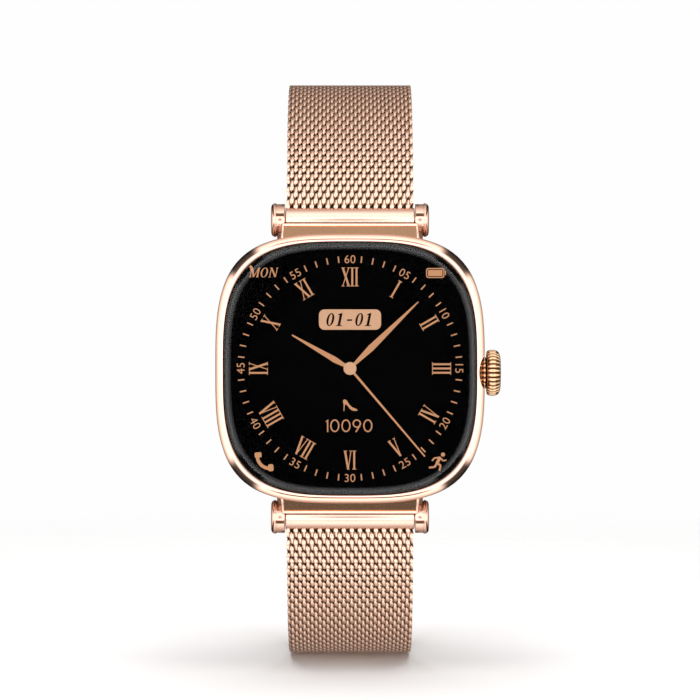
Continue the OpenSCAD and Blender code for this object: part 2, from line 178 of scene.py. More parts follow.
class Shading:
    """A node tree in the making, with its main shader."""

    def __init__(self, tree, shader):
        self.tree = tree
        self.shader = tree.nodes[shader]

    def set(self, socket, value):
        """Puts a constant or a wire on a socket of the main shader."""
        self.join(value, self.shader.inputs[socket])

    def join(self, value, target):
        if isinstance(value, Wire):
            self.tree.links.new(value.socket, target)
        elif target.type == "RGBA":
            target.default_value = (*value, 1)
        else:
            target.default_value = value

    def node(self, kind, settings=None, *values, out=0, **named):
        """Adds any node: its settings first, then values or wires for its sockets."""
        made = self.tree.nodes.new(kind)
        for key, value in (settings or {}).items():
            if key == "stops":
                for place, (position, shade) in enumerate(value):
                    while len(made.color_ramp.elements) <= place:
                        made.color_ramp.elements.new(1)
                    made.color_ramp.elements[place].position = position
                    made.color_ramp.elements[place].color = (*shade, 1)
            else:
                setattr(made, key, value)
        for place, value in enumerate(values):
            self.join(value, made.inputs[place])
        for key, value in named.items():
            self.join(value, made.inputs[key.replace("_", " ")])
        return Wire(self, made.outputs[out])

    def place(self):
        """The point on the piece, in metres, in the row frame."""
        return self.node("ShaderNodeTexCoord", out="Object")

    def noise(self, size, detail=3.0, stretch=(1, 1, 1)):
        """Noise with lumps of that size in millimetres."""
        mapped = self.node("ShaderNodeMapping", None, self.place(), Scale=stretch)
        return self.node("ShaderNodeTexNoise", None, Vector=mapped, Scale=1 / (size * MM), Detail=detail)

    def mix(self, share, first, second):
        """A colour between two others; the colour sockets of a Mix node are numbers 6 and 7."""
        made = self.node("ShaderNodeMix", {"data_type": "RGBA"}, share, out=2)
        self.join(first, made.socket.node.inputs[6])
        self.join(second, made.socket.node.inputs[7])
        return made

    def bump(self, height, strength, distance):
        normal = self.node("ShaderNodeBump", None, Strength=strength, Distance=distance * MM, Height=height)
        self.set("Normal", normal)


class Finish(Shading):
    """A material, begun from a few constants on its shader."""

    def __init__(self, name, **constants):
        self.material = bpy.data.materials.new(name)
        self.material.use_nodes = True
        super().__init__(self.material.node_tree, "Principled BSDF")
        for socket, value in constants.items():
            self.set(socket.replace("_", " "), value)


print("shader helpers ready")

# %% [markdown]
# ## Finishes
# The metal is steel with a thin rose-gold coating. Polished metal is almost all reflection, so
# its own nodes only break the mirror up a little: a slow drift of tint, cloudy roughness from
# handling, and hair-fine polishing lines. Satin, tube, lug and a near-black version share one
# recipe; the near-black colour is painted shade for the lug parts that lie in shadow.

# %% Rose gold
ROSE = (0.87, 0.57, 0.45)
ROSE_DEEP = (0.80, 0.47, 0.34)


def rose_gold(name, tint, deep, gloss, line_stretch=(1, 1, 1), grain=0.02):
    finish = Finish(name, Metallic=1.0)
    cloud = finish.noise(6, 4)
    lines = finish.noise(0.12, 2, line_stretch)
    shade = finish.mix(cloud * 0.5, tint, deep)
    finish.set("Base Color", shade)
    finish.set("Roughness", gloss + cloud * 0.05 + lines * 0.04)
    finish.bump(lines, grain, 0.01)
    return finish.material


POLISHED = rose_gold("rose_gold_polished", ROSE, ROSE_DEEP, 0.05)
CASE_METAL = rose_gold("rose_gold_case", ROSE, ROSE_DEEP, 0.09)
TUBE_METAL = rose_gold("rose_gold_tube", (0.90, 0.62, 0.50), ROSE, 0.22, (14, 1, 1), 0.04)
LUG_METAL = rose_gold("rose_gold_lug", ROSE, ROSE_DEEP, 0.2)
HOOD_METAL = rose_gold("rose_gold_hood", (0.84, 0.48, 0.28), (0.78, 0.44, 0.25), 0.05)
# Painted shade: near-black rose gold for the lug parts that lie in shadow.
PAINTED_SHADE_METAL = rose_gold("rose_gold_painted_shade", (0.14, 0.075, 0.045), (0.10, 0.05, 0.03), 0.3)
SATIN = rose_gold("rose_gold_satin", ROSE_DEEP, (0.42, 0.20, 0.13), 0.24, (1, 14, 14), 0.05)
print("rose gold:", POLISHED.name, CASE_METAL.name, SATIN.name)

# %% [markdown]
# The woven wire is the same metal. Skin and cuffs polish the tops of the wires, so the hollows
# between them stay rougher, and the hollows are painted dark as shade. Each band carries a `depth`
# value, made while the band is still flat, that says how far a point lies under the outer face.
# The grooves of the crown get the same painted shade, so it uses the same finish with a higher gloss.

# %% Woven wire finish
def wire_finish(name, gloss, worn_bright, worn_dull):
    finish = Finish(name, Metallic=1.0)
    depth = finish.node("ShaderNodeAttribute", {"attribute_name": "depth"}, out="Fac")
    cloud = finish.noise(3, 3)
    worn = finish.mix(cloud * 0.6, worn_bright, worn_dull)
    # Painted shade: the colour goes to near black as depth grows into the hollows.
    finish.set("Base Color", finish.mix(depth, worn, (0.09, 0.036, 0.022)))
    finish.set("Roughness", gloss + depth * 0.25 + cloud * 0.06)
    finish.bump(finish.noise(0.05, 2), 0.05, 0.01)
    return finish.material


WIRE_METAL = wire_finish("rose_gold_wire", 0.2, (0.88, 0.60, 0.46), (0.78, 0.48, 0.35))
FLUTED = wire_finish("rose_gold_fluted", 0.1, (0.84, 0.58, 0.36), (0.74, 0.46, 0.26))
print("wire:", WIRE_METAL.name, FLUTED.name)

# %% [markdown]
# ## Glass and display
# The cover is clear glass with a curved edge, so it bends what lies under it and mirrors the room.
# The display beneath is black, and the dial on it glows softly in the colour of the case. Glow is
# emission at about the brightness of paper, because a lit screen isn't a lamp.

# %% Glass, display and glow
def cover_glass_finish():
    finish = Finish("cover_glass", Metallic=0.0, IOR=1.5, Base_Color=(0.96, 0.97, 0.98))
    finish.set("Transmission Weight", 1.0)
    finish.set("Roughness", 0.03 + finish.noise(9, 3) * 0.01)
    return finish.material


def display_finish():
    finish = Finish("display_black", Metallic=0.0, Specular_IOR_Level=0.0)
    rows = finish.node("ShaderNodeTexWave", {"bands_direction": "Z"}, finish.place(), Scale=1 / (0.35 * MM))
    finish.set("Base Color", finish.mix(rows, (0.0015, 0.0015, 0.0018), (0.0025, 0.0025, 0.003)))
    finish.set("Roughness", 0.3 + rows * 0.05)
    return finish.material


def glow_finish(name, colour, edge_colour, strength):
    finish = Finish(name, Metallic=0.0, Roughness=0.5, Specular_IOR_Level=0.0)
    finish.set("Base Color", (0.01, 0.006, 0.005))
    grain = finish.noise(0.4, 2)
    finish.set("Emission Color", finish.mix(grain, colour, edge_colour))
    finish.set("Emission Strength", strength)
    return finish.material


GLASS = cover_glass_finish()
DISPLAY = display_finish()
GLOW = glow_finish("dial_glow", (0.66, 0.33, 0.17), (0.60, 0.29, 0.145), 1.0)
GLOW_PALE = glow_finish("dial_glow_pale", (0.76, 0.45, 0.28), (0.69, 0.38, 0.22), 1.0)
INK = glow_finish("dial_ink", (0.004, 0.003, 0.003), (0.008, 0.006, 0.006), 0.1)
print("display finishes ready")

# %% [markdown]
# ## Plastics, rubber and the works inside
# The parts that are rarely seen still get the grain of their material: fine spark-eroded texture
# on moulded plastic, tracks on the boards, turning lines on bare steel.

# %% Finishes of the other parts
def moulded(name, colour, grain_size, roughness):
    finish = Finish(name, Metallic=0.0)
    grain = finish.noise(grain_size, 4)
    paler = tuple(channel * 1.35 + 0.004 for channel in colour)
    finish.set("Base Color", finish.mix(grain, colour, paler))
    finish.set("Roughness", roughness + grain * 0.15)
    finish.bump(grain, 0.25, 0.02)
    return finish.material


def bare_metal(name, colour, roughness, stretch=(1, 12, 1)):
    finish = Finish(name, Metallic=1.0)
    lines = finish.noise(0.2, 3, stretch)
    darker = tuple(channel * 0.82 for channel in colour)
    finish.set("Base Color", finish.mix(lines, colour, darker))
    finish.set("Roughness", roughness + lines * 0.15)
    finish.bump(lines, 0.08, 0.01)
    return finish.material


def circuit_board(name):
    finish = Finish(name, Metallic=0.0)
    tracks = finish.node(
        "ShaderNodeTexBrick", {"offset": 0.37}, finish.place(), Scale=1 / (2.2 * MM), Mortar_Size=0.06,
        out="Fac",
    )
    finish.set("Base Color", finish.mix(tracks, (0.012, 0.09, 0.04), (0.05, 0.24, 0.11)))
    finish.set("Roughness", 0.35 + tracks * 0.1)
    finish.bump(tracks, 0.2, 0.02)
    return finish.material


def dark_window(name):
    finish = Finish(name, Metallic=0.0, IOR=1.5)
    haze = finish.noise(4, 3)
    finish.set("Base Color", finish.mix(haze, (0.006, 0.006, 0.008), (0.016, 0.014, 0.018)))
    finish.set("Roughness", 0.04 + haze * 0.05)
    finish.set("Coat Weight", 0.6 + haze * 0.3)
    return finish.material


FINISHES = {
    "rose_case": CASE_METAL,
    "rose_polish": POLISHED,
    "rose_dark": SATIN,
    "rose_wire": WIRE_METAL,
    "cover_glass": GLASS,
    "display": DISPLAY,
    "sensor_glass": dark_window("sensor_window_glass"),
    "back_plastic": moulded("back_plastic", (0.018, 0.018, 0.020), 0.25, 0.42),
    "dark_plastic": moulded("chassis_plastic", (0.03, 0.03, 0.034), 0.3, 0.5),
    "black_rubber": moulded("black_rubber", (0.008, 0.008, 0.008), 0.15, 0.7),
    "board": circuit_board("circuit_board"),
    "chip_black": moulded("chip_package", (0.01, 0.01, 0.011), 0.1, 0.55),
    "flex_print": moulded("amber_film", (0.30, 0.12, 0.03), 1.0, 0.3),
    "copper": bare_metal("copper_strip", (0.80, 0.42, 0.26), 0.25),
    "battery_foil": bare_metal("battery_foil", (0.62, 0.63, 0.65), 0.32, (3, 1, 1)),
    "bare_steel": bare_metal("turned_steel", (0.56, 0.56, 0.57), 0.2),
    "contact_gold": bare_metal("gold_contact", (0.92, 0.66, 0.30), 0.18),
    "led_green": moulded("led_lens", (0.10, 0.50, 0.16), 0.5, 0.15),
    "diode_glass": dark_window("diode_lens"),
    "magnet_nickel": bare_metal("nickel_plate", (0.68, 0.67, 0.64), 0.12, (1, 1, 1)),
}
slot_of = {part["node"]: part["material_slot"] for part in frame["record"]["subparts"]}
for node_name, node_object in frame["nodes"].items():
    node_object.data.materials.clear()
    node_object.data.materials.append(FINISHES[slot_of[node_name]])
print("finishes:", len(FINISHES))

# %% [markdown]
# ## Modelling tools
# These few helpers do what the hand does: take hold of one piece, pick faces or edges by where
# they lie, apply a modifier, stand the piece up and hand it over to the body it rides on.

# %% Modelling helpers
def clear_selection():
    if bpy.context.mode != "OBJECT":
        bpy.ops.object.mode_set(mode="OBJECT")
    bpy.ops.object.select_all(action="DESELECT")


def take(piece):
    """Makes one piece the selected and active one."""
    clear_selection()
    piece.select_set(True)
    bpy.context.view_layer.objects.active = piece
    return piece


def edit(piece, mode="FACE"):
    take(piece)
    bpy.ops.object.mode_set(mode="EDIT")
    bpy.ops.mesh.select_mode(type=mode)
    bpy.ops.mesh.select_all(action="DESELECT")


def edit_all(piece):
    edit(piece)
    bpy.ops.mesh.select_all(action="SELECT")


def pick(kind, test):
    """Selects the vertices, edges or faces that pass a test, in edit mode."""
    mesh = bmesh.from_edit_mesh(bpy.context.object.data)
    chosen = [item for item in getattr(mesh, kind) if test(item)]
    for item in chosen:
        item.select_set(True)
    mesh.select_flush_mode()
    bmesh.update_edit_mesh(bpy.context.object.data)
    return len(chosen)


def pull(piece, test, *shift):
    """Moves the vertices that pass a test by a shift in millimetres."""
    edit(piece, "VERT")
    pick("verts", test)
    bpy.ops.transform.translate(value=[step * MM for step in shift])
    clear_selection()
    return piece


def modify(piece, kind, **settings):
    """Adds a modifier and applies it."""
    take(piece)
    modifier = piece.modifiers.new(kind.lower(), kind)
    for key, value in settings.items():
        setattr(modifier, key, value)
    bpy.ops.object.modifier_apply(modifier=modifier.name)
    return piece


def bevel_edges(piece, width, segments=3, angle=30):
    return modify(
        piece, "BEVEL", width=width * MM, segments=segments, limit_method="ANGLE",
        angle_limit=math.radians(angle), harden_normals=False,
    )


def repeat(piece, count, step, **settings):
    """Repeats a piece along a step in millimetres."""
    return modify(
        piece, "ARRAY", count=count, use_relative_offset=False, use_constant_offset=True,
        constant_offset_displace=[part * MM for part in step], **settings,
    )


def carve(piece, cutter, operation="DIFFERENCE"):
    """Cuts the cutter out of the piece, or joins it on, and throws the cutter away."""
    modify(piece, "BOOLEAN", object=cutter, operation=operation, solver="EXACT")
    bpy.data.objects.remove(cutter)
    return piece


def join(first, *others):
    take(first)
    for other in others:
        other.select_set(True)
    bpy.ops.object.join()
    return first


def settle(piece, turn=None):
    """Applies the piece's place, so that its object sits at the origin; stands it up if asked."""
    take(piece)
    if turn:
        bpy.ops.object.transform_apply(location=True, rotation=True, scale=True)
        piece.rotation_euler = turn
    bpy.ops.object.transform_apply(location=True, rotation=True, scale=True)
    return piece


STAND_UP = (math.radians(90), 0, 0)


def outward(piece):
    """Merges doubled vertices and turns every face outwards."""
    edit_all(piece)
    bpy.ops.mesh.remove_doubles(threshold=0.0005 * MM)
    bpy.ops.mesh.normals_make_consistent(inside=False)
    clear_selection()
    return piece


def mirrored(piece, flip=-1):
    """Turns a piece for twelve o'clock into its twin for six, if flip is -1."""
    piece.scale = (1, 1, flip)
    return outward(settle(piece))


def add_line(curve, points, closed=False):
    """Adds a spline of straight lines through points in millimetres."""
    line = curve.splines.new("POLY")
    line.points.add(len(points) - 1)
    line.use_cyclic_u = closed
    for point, place in zip(line.points, points):
        x, y, z = (*place, 0)[:3]
        point.co = (x * MM, y * MM, z * MM, 1)


def mark_depth(piece, values):
    """Stores how deep each vertex lies in a hollow, for the painted shade of the wire finish."""
    piece.data.attributes.new("depth", "FLOAT", "POINT").data.foreach_set("value", values)


def hand_over(piece, name, body, slot, *nodes, material=None, angle=35, flat=False):
    """Names a finished piece, smooths it and gives it its finish, its body and its CAD node."""
    take(piece)
    bpy.ops.object.shade_smooth_by_angle(angle=math.radians(angle))
    if flat:
        modify(piece, "WEIGHTED_NORMAL", keep_sharp=True, weight=80)
    piece.name = name
    piece.data.name = name
    piece.data.materials.clear()
    piece.data.materials.append(material or FINISHES[slot])
    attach(piece, body)
    if nodes:
        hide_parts(*nodes)
    print(f"{name}: {len(piece.data.polygons)} faces on {body}")
    return piece


def cylinder(radius, length, centre, axis="Z", vertices=96):
    """A plain cylinder in millimetres, as a start for turned pieces."""
    clear_selection()
    turn = {"X": (0, math.radians(90), 0), "Y": (math.radians(90), 0, 0), "Z": (0, 0, 0)}[axis]
    bpy.ops.mesh.primitive_cylinder_add(
        vertices=vertices, radius=radius * MM, depth=length * MM, location=Vector(centre) * MM, rotation=turn
    )
    return settle(bpy.context.object)


def box_between(low, high):
    """A box between two corners in millimetres."""
    clear_selection()
    low, high = Vector(low) * MM, Vector(high) * MM
    bpy.ops.mesh.primitive_cube_add(size=1, location=(low + high) / 2, scale=high - low)
    return settle(bpy.context.object)


print("modelling helpers ready")

# %% [markdown]
# ## The squircle
# The case is neither a square nor a circle, but a superellipse. Rounding the corners of a square
# right up to the middles of its sides, with the bevel's profile set to 2^(-2/n), gives exactly a
# superellipse of power n. Everything round the dial starts from that one face.

# %% Squircle plates, stacks and rings
OUTLINE_SIDES = 192


def squircle_face(half, level, power):
    clear_selection()
    bpy.ops.mesh.primitive_plane_add(size=2 * half * MM, location=(0, 0, level * MM), enter_editmode=True)
    bpy.ops.mesh.bevel(
        offset=half * 0.9999 * MM, affect="VERTICES", segments=OUTLINE_SIDES // 4, profile=2 ** (-2 / power)
    )
    bpy.ops.mesh.remove_doubles(threshold=0.005 * MM)
    return settle(bpy.context.object)


def squircle_stack(stations, power):
    """Extrudes a squircle through (half width, level) stations, from the back to the front."""
    piece = squircle_face(*stations[0], power)
    edit_all(piece)
    for (half, level), (next_half, next_level) in zip(stations, stations[1:]):
        bpy.ops.mesh.extrude_region_move(TRANSFORM_OT_translate={"value": (0, 0, (next_level - level) * MM)})
        ratio = next_half / half
        bpy.ops.transform.resize(value=(ratio, ratio, 1), center_override=(0, 0, next_level * MM))
    return outward(piece)


def squircle_ring(outer, outer_power, inner, inner_power):
    """A ring between an outer and an inner wall, each given as stations from back to front."""
    walls = [squircle_stack(outer, outer_power), squircle_stack(inner, inner_power)]
    for wall in walls:
        edit(wall)
        pick("faces", lambda face: len(face.verts) > 8)
        bpy.ops.mesh.delete(type="ONLY_FACE")
    bpy.ops.mesh.select_all(action="SELECT")
    bpy.ops.mesh.flip_normals()
    ring = join(*walls)
    middle = (outer[0][1] + outer[-1][1]) / 2 * MM
    for front in (False, True):
        edit(ring, "EDGE")
        pick("edges", lambda edge: edge.is_boundary and (edge.verts[0].co.z > middle) == front)
        bpy.ops.mesh.bridge_edge_loops()
    return outward(ring)


print("squircle tools ready")

# %% [markdown]
# ## Bezel ring
# The ring round the glass is milled from bar and mirror polished, so its section is a soft
# shoulder, not a flat. A few stations along a quarter round give that shoulder, which ends in a
# sharp edge at the glass. The flank has a scallop where the crown's collar shows.

# %% Bezel ring
def rounded_steps(half, level, reach, rise, steps, end=90):
    """Stations along a quarter round that leaves the wall at (half, level) and stops at an angle."""
    turns = [math.radians(end) * i / steps for i in range(steps + 1)]
    wide, tall = 1 - math.cos(turns[-1]), math.sin(turns[-1])
    return [(half - reach * (1 - math.cos(t)) / wide, level + rise * math.sin(t) / tall) for t in turns]


BEZEL_POWER = 3.35
GLASS_POWER = 3.1
bore = glass_half + 0.05
SHOULDER_H = 0.72
shoulder = rounded_steps(
    bezel_half, bezel_rim - SHOULDER_H, bezel_half - bore - 0.01, SHOULDER_H, steps=12, end=72
)
bezel_outer = [(bezel_half - 0.12, case_front), (bezel_half - 0.02, case_front + 0.12), *shoulder]
bezel_inner = [(bore, case_front), (bore, bezel_rim)]
bezel = settle(squircle_ring(bezel_outer, BEZEL_POWER, bezel_inner, GLASS_POWER), STAND_UP)


def crown_notch():
    """An oval cutter for the scallop in the flank."""
    cutter = cylinder(2.5, 6, (0, -8.2, 0), "Y")
    cutter.scale = (0.5, 1, 1)
    cutter.location = ((case_half + 0.47) * MM, 0, crown_z * MM)
    return settle(cutter)


carve(bezel, crown_notch())
hand_over(bezel, "bezel_ring_polished", "case", "rose_polish", "bezel_ring", angle=40)

# %% [markdown]
# ## Case body
# The metal body is a little squarer than the bezel, so that it shows behind the bezel's corners,
# and it draws in towards the wrist, like a cushion.
# Its wall is one ring, and the recess and hole for the crown are drilled with Booleans.

# %% Case body
CASE_POWER = 3.5
flank = [
    (0.925, 0.0), (0.948, 0.055), (0.968, 0.14), (0.985, 0.27), (0.995, 0.42), (1.0, 0.58), (1.0, 0.84),
    (0.997, 0.93), (0.991, 1.0),
]
case_outer = [(case_half * scale, case_back + (case_front - case_back) * rise) for scale, rise in flank]
cavity_half = 16.1
case_inner = [(cavity_half, case_back), (cavity_half, case_front)]
case_body = settle(squircle_ring(case_outer, CASE_POWER, case_inner, BEZEL_POWER), STAND_UP)
recess_floor = collar_low.x - 0.5
crown_centre = (0, lug_y, crown_z)
carve(case_body, cylinder(collar_r + 0.15, 3, (recess_floor + 1.5, lug_y, crown_z), "X"))
carve(case_body, cylinder(1.5, 4, (16, lug_y, crown_z), "X"))
carve(case_body, crown_notch())
hand_over(case_body, "case_body_polished", "case", "rose_case", "mid_case", angle=40)

# %% [markdown]
# ## Cover glass and display
# The rim of the glass rolls over in a tight curve and then runs almost flat. The display is
# bonded to its underside, with a wider black border that hides the seat of the glass, and a thin
# black seal fills the gap to the bezel. All are stacks of the same squircle.

# %% Cover glass and display
glass_steps = [
    (glass_half - 0.1, glass_low), (glass_half, glass_low + 0.1),
    *rounded_steps(glass_half, glass_low + 0.6, 0.6, glass_high - glass_low - 0.63, steps=12, end=84),
    (glass_half - 1.2, glass_high - 0.01), (glass_half - 3.0, glass_high - 0.002),
    (glass_half - 8, glass_high),
]
glass = settle(squircle_stack(glass_steps, GLASS_POWER), STAND_UP)
hand_over(glass, "cover_glass_curved", "case", "cover_glass", "cover_glass", angle=60)
border_level = glass_low + 0.01
panel_steps = [
    (display_half, display_low), (display_half, border_level - 0.03),
    (glass_half - 0.12, border_level - 0.03), (glass_half - 0.12, border_level),
]
panel = settle(squircle_stack(panel_steps, GLASS_POWER), STAND_UP)
hand_over(panel, "display_with_border", "case", "display", "display_panel")
seal_outer, seal_inner = (
    [(glass_half + gap, glass_low + 0.01), (glass_half + gap, glass_low + 0.52)] for gap in (0.04, 0.01)
)
glass_seal = settle(squircle_ring(seal_outer, GLASS_POWER, seal_inner, GLASS_POWER), STAND_UP)
hand_over(glass_seal, "glass_edge_seal", "case", "black_rubber")

# %% [markdown]
# ## Lugs
# The band hangs between two drum-shaped ears on short arms, and a slanted hood plate covers the
# gap between case and band. On the watch this is one casting. It is made as three pieces, because
# ears, hood and the foot behind them each have a finish of their own; the foot and the arms are
# painted near black as shade. The drums are cylinders closed by a rounded disc, and the rest are
# boxes with some corners moved.

# %% Ears
SPLIT_Z = lug_z + 0.25 * ear_r
HOOD_HALF = ear_inner + 0.25
EAR_SIDES = 128


def lug_drum(side):
    """The drum of an ear, with a thin split across its front."""
    end = lug_high.x - 0.55
    centre = (side * (ear_inner + end) / 2, lug_y, lug_z)
    drum = cylinder(ear_r - 0.12, end - ear_inner, centre, "X", EAR_SIDES)
    drum = bevel_edges(drum, 0.08, 2)
    return carve(drum, box_between((-20, lug_y - 3, SPLIT_Z - 0.2), (20, lug_y - 1.98, SPLIT_Z + 0.2)))


def lug_cap(side):
    """The rounded disc that closes the ear on the outside."""
    cap = cylinder(ear_r, 0.72, (side * (lug_high.x - 0.36), lug_y, lug_z), "X", EAR_SIDES)
    edit(cap, "EDGE")
    pick("edges", lambda e: all(side * v.co.x > (lug_high.x - 0.1) * MM for v in e.verts))
    bpy.ops.mesh.bevel(offset=0.6 * MM, segments=8, profile=0.5)
    bpy.ops.mesh.select_all(action="DESELECT")
    pick("edges", lambda e: all(side * v.co.x < (lug_high.x - 0.7) * MM for v in e.verts))
    bpy.ops.mesh.bevel(offset=0.08 * MM, segments=2, profile=0.5)
    clear_selection()
    return cap


print(f"ears from x {ear_inner:.2f} to {lug_high.x:.2f}, radius {ear_r:.2f}")

# %% [markdown]
# The hood and its cheeks rise from the case and slope back as they go out, and the arms behind
# taper the same way. Each starts as a box, and one pull on its front corners gives the slope.

# %% Hood, arms and foot
LUG_ROOT = 16.9
LUG_BACK = -2.9
HOOD_BACK = -6.98
HOOD_SLOPE = 0.72


def hood_plate():
    """A plate from the case to just in front of the strap tube, sloping back as it goes out."""
    plate = box_between((-HOOD_HALF, -8.05, 17.4), (HOOD_HALF, HOOD_BACK, 19.9))
    return pull(plate, lambda v: v.co.z > 19 * MM and v.co.y < -7.5 * MM, 0, HOOD_SLOPE, 0)


def arm(side):
    low_x, high_x = sorted((side * ear_inner, side * (lug_high.x - 0.85)))
    bar = box_between((low_x, -6.9, LUG_ROOT), (high_x, LUG_BACK, lug_z + 0.6))
    pull(bar, lambda v: v.co.z > lug_z * MM and v.co.y < -6 * MM, 0, 0.9, 0)
    return bevel_edges(bar, 0.25, 3)


def gusset(side):
    """The thin bright cheek that closes the end of the hood and curls onto the case."""
    x = side * HOOD_HALF
    cheek = box_between((x - 0.2, -8.2, 17.6), (x + 0.2, -5.5, 19.95))
    pull(cheek, lambda v: v.co.z > 19 * MM and v.co.y < -7 * MM, -side * 0.05, HOOD_SLOPE, 0)
    pull(cheek, lambda v: v.co.z < 18 * MM and v.co.y < -7 * MM, side * 0.12, 0, 0)
    return bevel_edges(cheek, 0.12, 3)


def hood_lip():
    """The narrow flat along the outer edge of the hood, tipped so that it catches the light."""
    lip = box_between((-HOOD_HALF, -7.68, 19.62), (HOOD_HALF, -7.1, 19.94))
    pull(lip, lambda v: v.co.z > 19.8 * MM and v.co.y < -7.5 * MM, 0, 0.06, 0)
    return bevel_edges(lip, 0.03, 2)


def lug_frame():
    """The ears, the cheeks and the lip, held together by a riser behind the hood."""
    riser = box_between((-ear_inner - 0.2, -7.7, LUG_ROOT), (ear_inner + 0.2, -5.8, 18.2))
    bevel_edges(riser, 0.15, 2)
    sides = [make(side) for make in (gusset, lug_drum, lug_cap) for side in (-1, 1)]
    return join(riser, hood_lip(), *sides)


def split_shade_strip(side):
    """A dark strip in the split of a drum, painted shade."""
    low_x, high_x = sorted((side * (ear_inner + 0.1), side * (lug_high.x - 0.75)))
    return box_between((low_x, lug_y - 2.08, SPLIT_Z - 0.25), (high_x, lug_y - 1.8, SPLIT_Z + 0.25))


def lug_base():
    """The foot and the arms, painted near black as shade, with dark strips of painted shade behind the lip
    and in the splits.
    """
    foot_end = lug_high.x - 0.9
    foot = bevel_edges(box_between((-foot_end, -6.3, LUG_ROOT), (foot_end, LUG_BACK, 18.55)), 0.15, 2)
    # A dark strip over the lip, painted shade that the tube mirrors as a dark line.
    lip_shade_strip = box_between((-ear_inner - 0.2, -7.5, 19.9), (ear_inner + 0.2, HOOD_BACK, 19.965))
    return join(foot, lip_shade_strip, arm(-1), arm(1), split_shade_strip(-1), split_shade_strip(1))


print(f"hood {2 * HOOD_HALF:.2f} mm wide")

# %% [markdown]
# The three pieces are made for the twelve o'clock side, and copies are mirrored for six o'clock.

# %% Both lugs
# The foot and arms take the near-black finish, which is painted shade.
lug_parts = [
    ("lug_frame", lug_frame, LUG_METAL, True), ("lug_hood", hood_plate, HOOD_METAL, False),
    ("lug_base", lug_base, PAINTED_SHADE_METAL, False),
]
for part_name, make_part, finish, is_main in lug_parts:
    upper_part = outward(make_part())
    take(upper_part)
    bpy.ops.object.duplicate()
    lower_part = mirrored(bpy.context.object)
    for half_name, part in (("upper", upper_part), ("lower", lower_part)):
        replaced = [f"lug_{half_name}"] if is_main else []
        hand_over(
            part, f"{part_name}_{half_name}", "case", "rose_polish", *replaced,
            material=finish, angle=28, flat=True,
        )

# %% [markdown]
# ## Strap tubes
# The end of each woven band is pinched into a tube, brushed along its length, and the spring bar
# runs inside it. A slot at the back lets the little quick-release lever slide.

# %% Strap tubes
BAR_BORE_R = 0.92


def strap_tube():
    half = ear_inner - 0.1
    tube = bevel_edges(cylinder(tube_r, 2 * half, (0, lug_y, lug_z), "X", EAR_SIDES), 0.12, 3)
    carve(tube, cylinder(BAR_BORE_R, 2 * half + 1, (0, lug_y, lug_z), "X", 64))
    slot_low, slot_high = -7.15, -5.15
    return carve(tube, box_between((slot_low, lug_y, lug_z - 0.55), (slot_high, lug_y + 3, lug_z + 0.55)))


for half_name, flip in (("upper", 1), ("lower", -1)):
    tube = mirrored(strap_tube(), flip)
    hand_over(
        tube, f"{half_name}_tube_polished", f"{half_name}_strap", "rose_polish", f"{half_name}_tube",
        material=TUBE_METAL,
    )

# %% [markdown]
# ## The woven band
# A Milanese band is rows of flattened wire coils, each screwed into the next. Modelling one turn
# is enough: a curve with ten bends, made a tube. Arrays repeat it into a row and into rows, every
# second row half a turn further along, and a Curve modifier bends the flat band round the wrist.
# The legs of a turn are longer than half the row step, so that neighbouring rows reach into each
# other's loops and the band looks closed. The turn is drawn for one row step and scaled to another.

# %% One turn of wire and one pair of rows
WIRE_D = 0.585
BAND_T = 0.53
FLATTENING = 0.2
TURNS = 17
TURN_PITCH = 1.11
LEG = 0.70
LEAN = 0.035
BAND_HALF = 8.72
DRAWN_STEP = 0.95


def wire_turn(row_step):
    """One flattened coil turn: s along the band (x), outward (y), across the band (z)."""
    scale = row_step / DRAWN_STEP
    straight, shoulder, crest = 0.50 * scale, 0.66 * scale, LEG * scale
    near, quarter = 0.055 * TURN_PITCH, TURN_PITCH / 4
    half_turn = [
        (straight, BAND_T, LEAN), (shoulder, 0.5 * BAND_T, near), (crest, 0, quarter),
        (shoulder, -0.5 * BAND_T, 2 * quarter - near), (straight, -BAND_T, 2 * quarter - LEAN),
    ]
    back = [(-s, -t, u + 2 * quarter) for s, t, u in half_turn]
    points = [(0, BAND_T, 0), *half_turn, *back, (0, BAND_T, TURN_PITCH)]
    clear_selection()
    bpy.ops.curve.primitive_bezier_curve_add()
    curve = bpy.context.object.data
    curve.splines.clear()
    add_line(curve, points)
    curve.twist_mode = "Z_UP"
    curve.bevel_depth = WIRE_D / 2 * MM
    curve.bevel_resolution = 2
    curve.use_fill_caps = False
    bpy.ops.object.convert(target="MESH")
    return bpy.context.object


def row_pair(row_step):
    """Two neighbouring rows, the second half a turn along, rolled flat and trimmed at the edges."""
    row = wire_turn(row_step)
    repeat(row, TURNS, (0, 0, TURN_PITCH), use_merge_vertices=True, merge_threshold=0.01 * MM)
    edit_all(row)
    bpy.ops.transform.translate(value=(0, 0, -(TURNS + 0.5) / 2 * TURN_PITCH * MM))
    bpy.ops.mesh.fill_holes(sides=16)
    bpy.ops.mesh.select_all(action="SELECT")
    bpy.ops.mesh.duplicate_move(TRANSFORM_OT_translate={"value": (row_step * MM, 0, TURN_PITCH / 2 * MM)})
    flat_level = BAND_T * MM
    for side in (-1, 1):
        bpy.ops.mesh.select_all(action="DESELECT")
        pick("verts", lambda v: side * v.co.y > flat_level)
        bpy.ops.transform.resize(value=(1, FLATTENING, 1), center_override=(0, side * flat_level, 0))
        bpy.ops.mesh.select_all(action="SELECT")
        bpy.ops.mesh.bisect(
            plane_co=(0, 0, side * BAND_HALF * MM), plane_no=(0, 0, side), use_fill=True, clear_outer=True
        )
    return outward(row)


print(f"band {2 * BAND_HALF:.2f} mm wide, about {2 * BAND_T + FLATTENING * WIRE_D:.2f} mm thick")

# %% [markdown]
# The path of the closed band is an arc from each lug and a straight back. The lower half steps
# outwards near its end, so that its magnet tab lies over the end of the upper half.

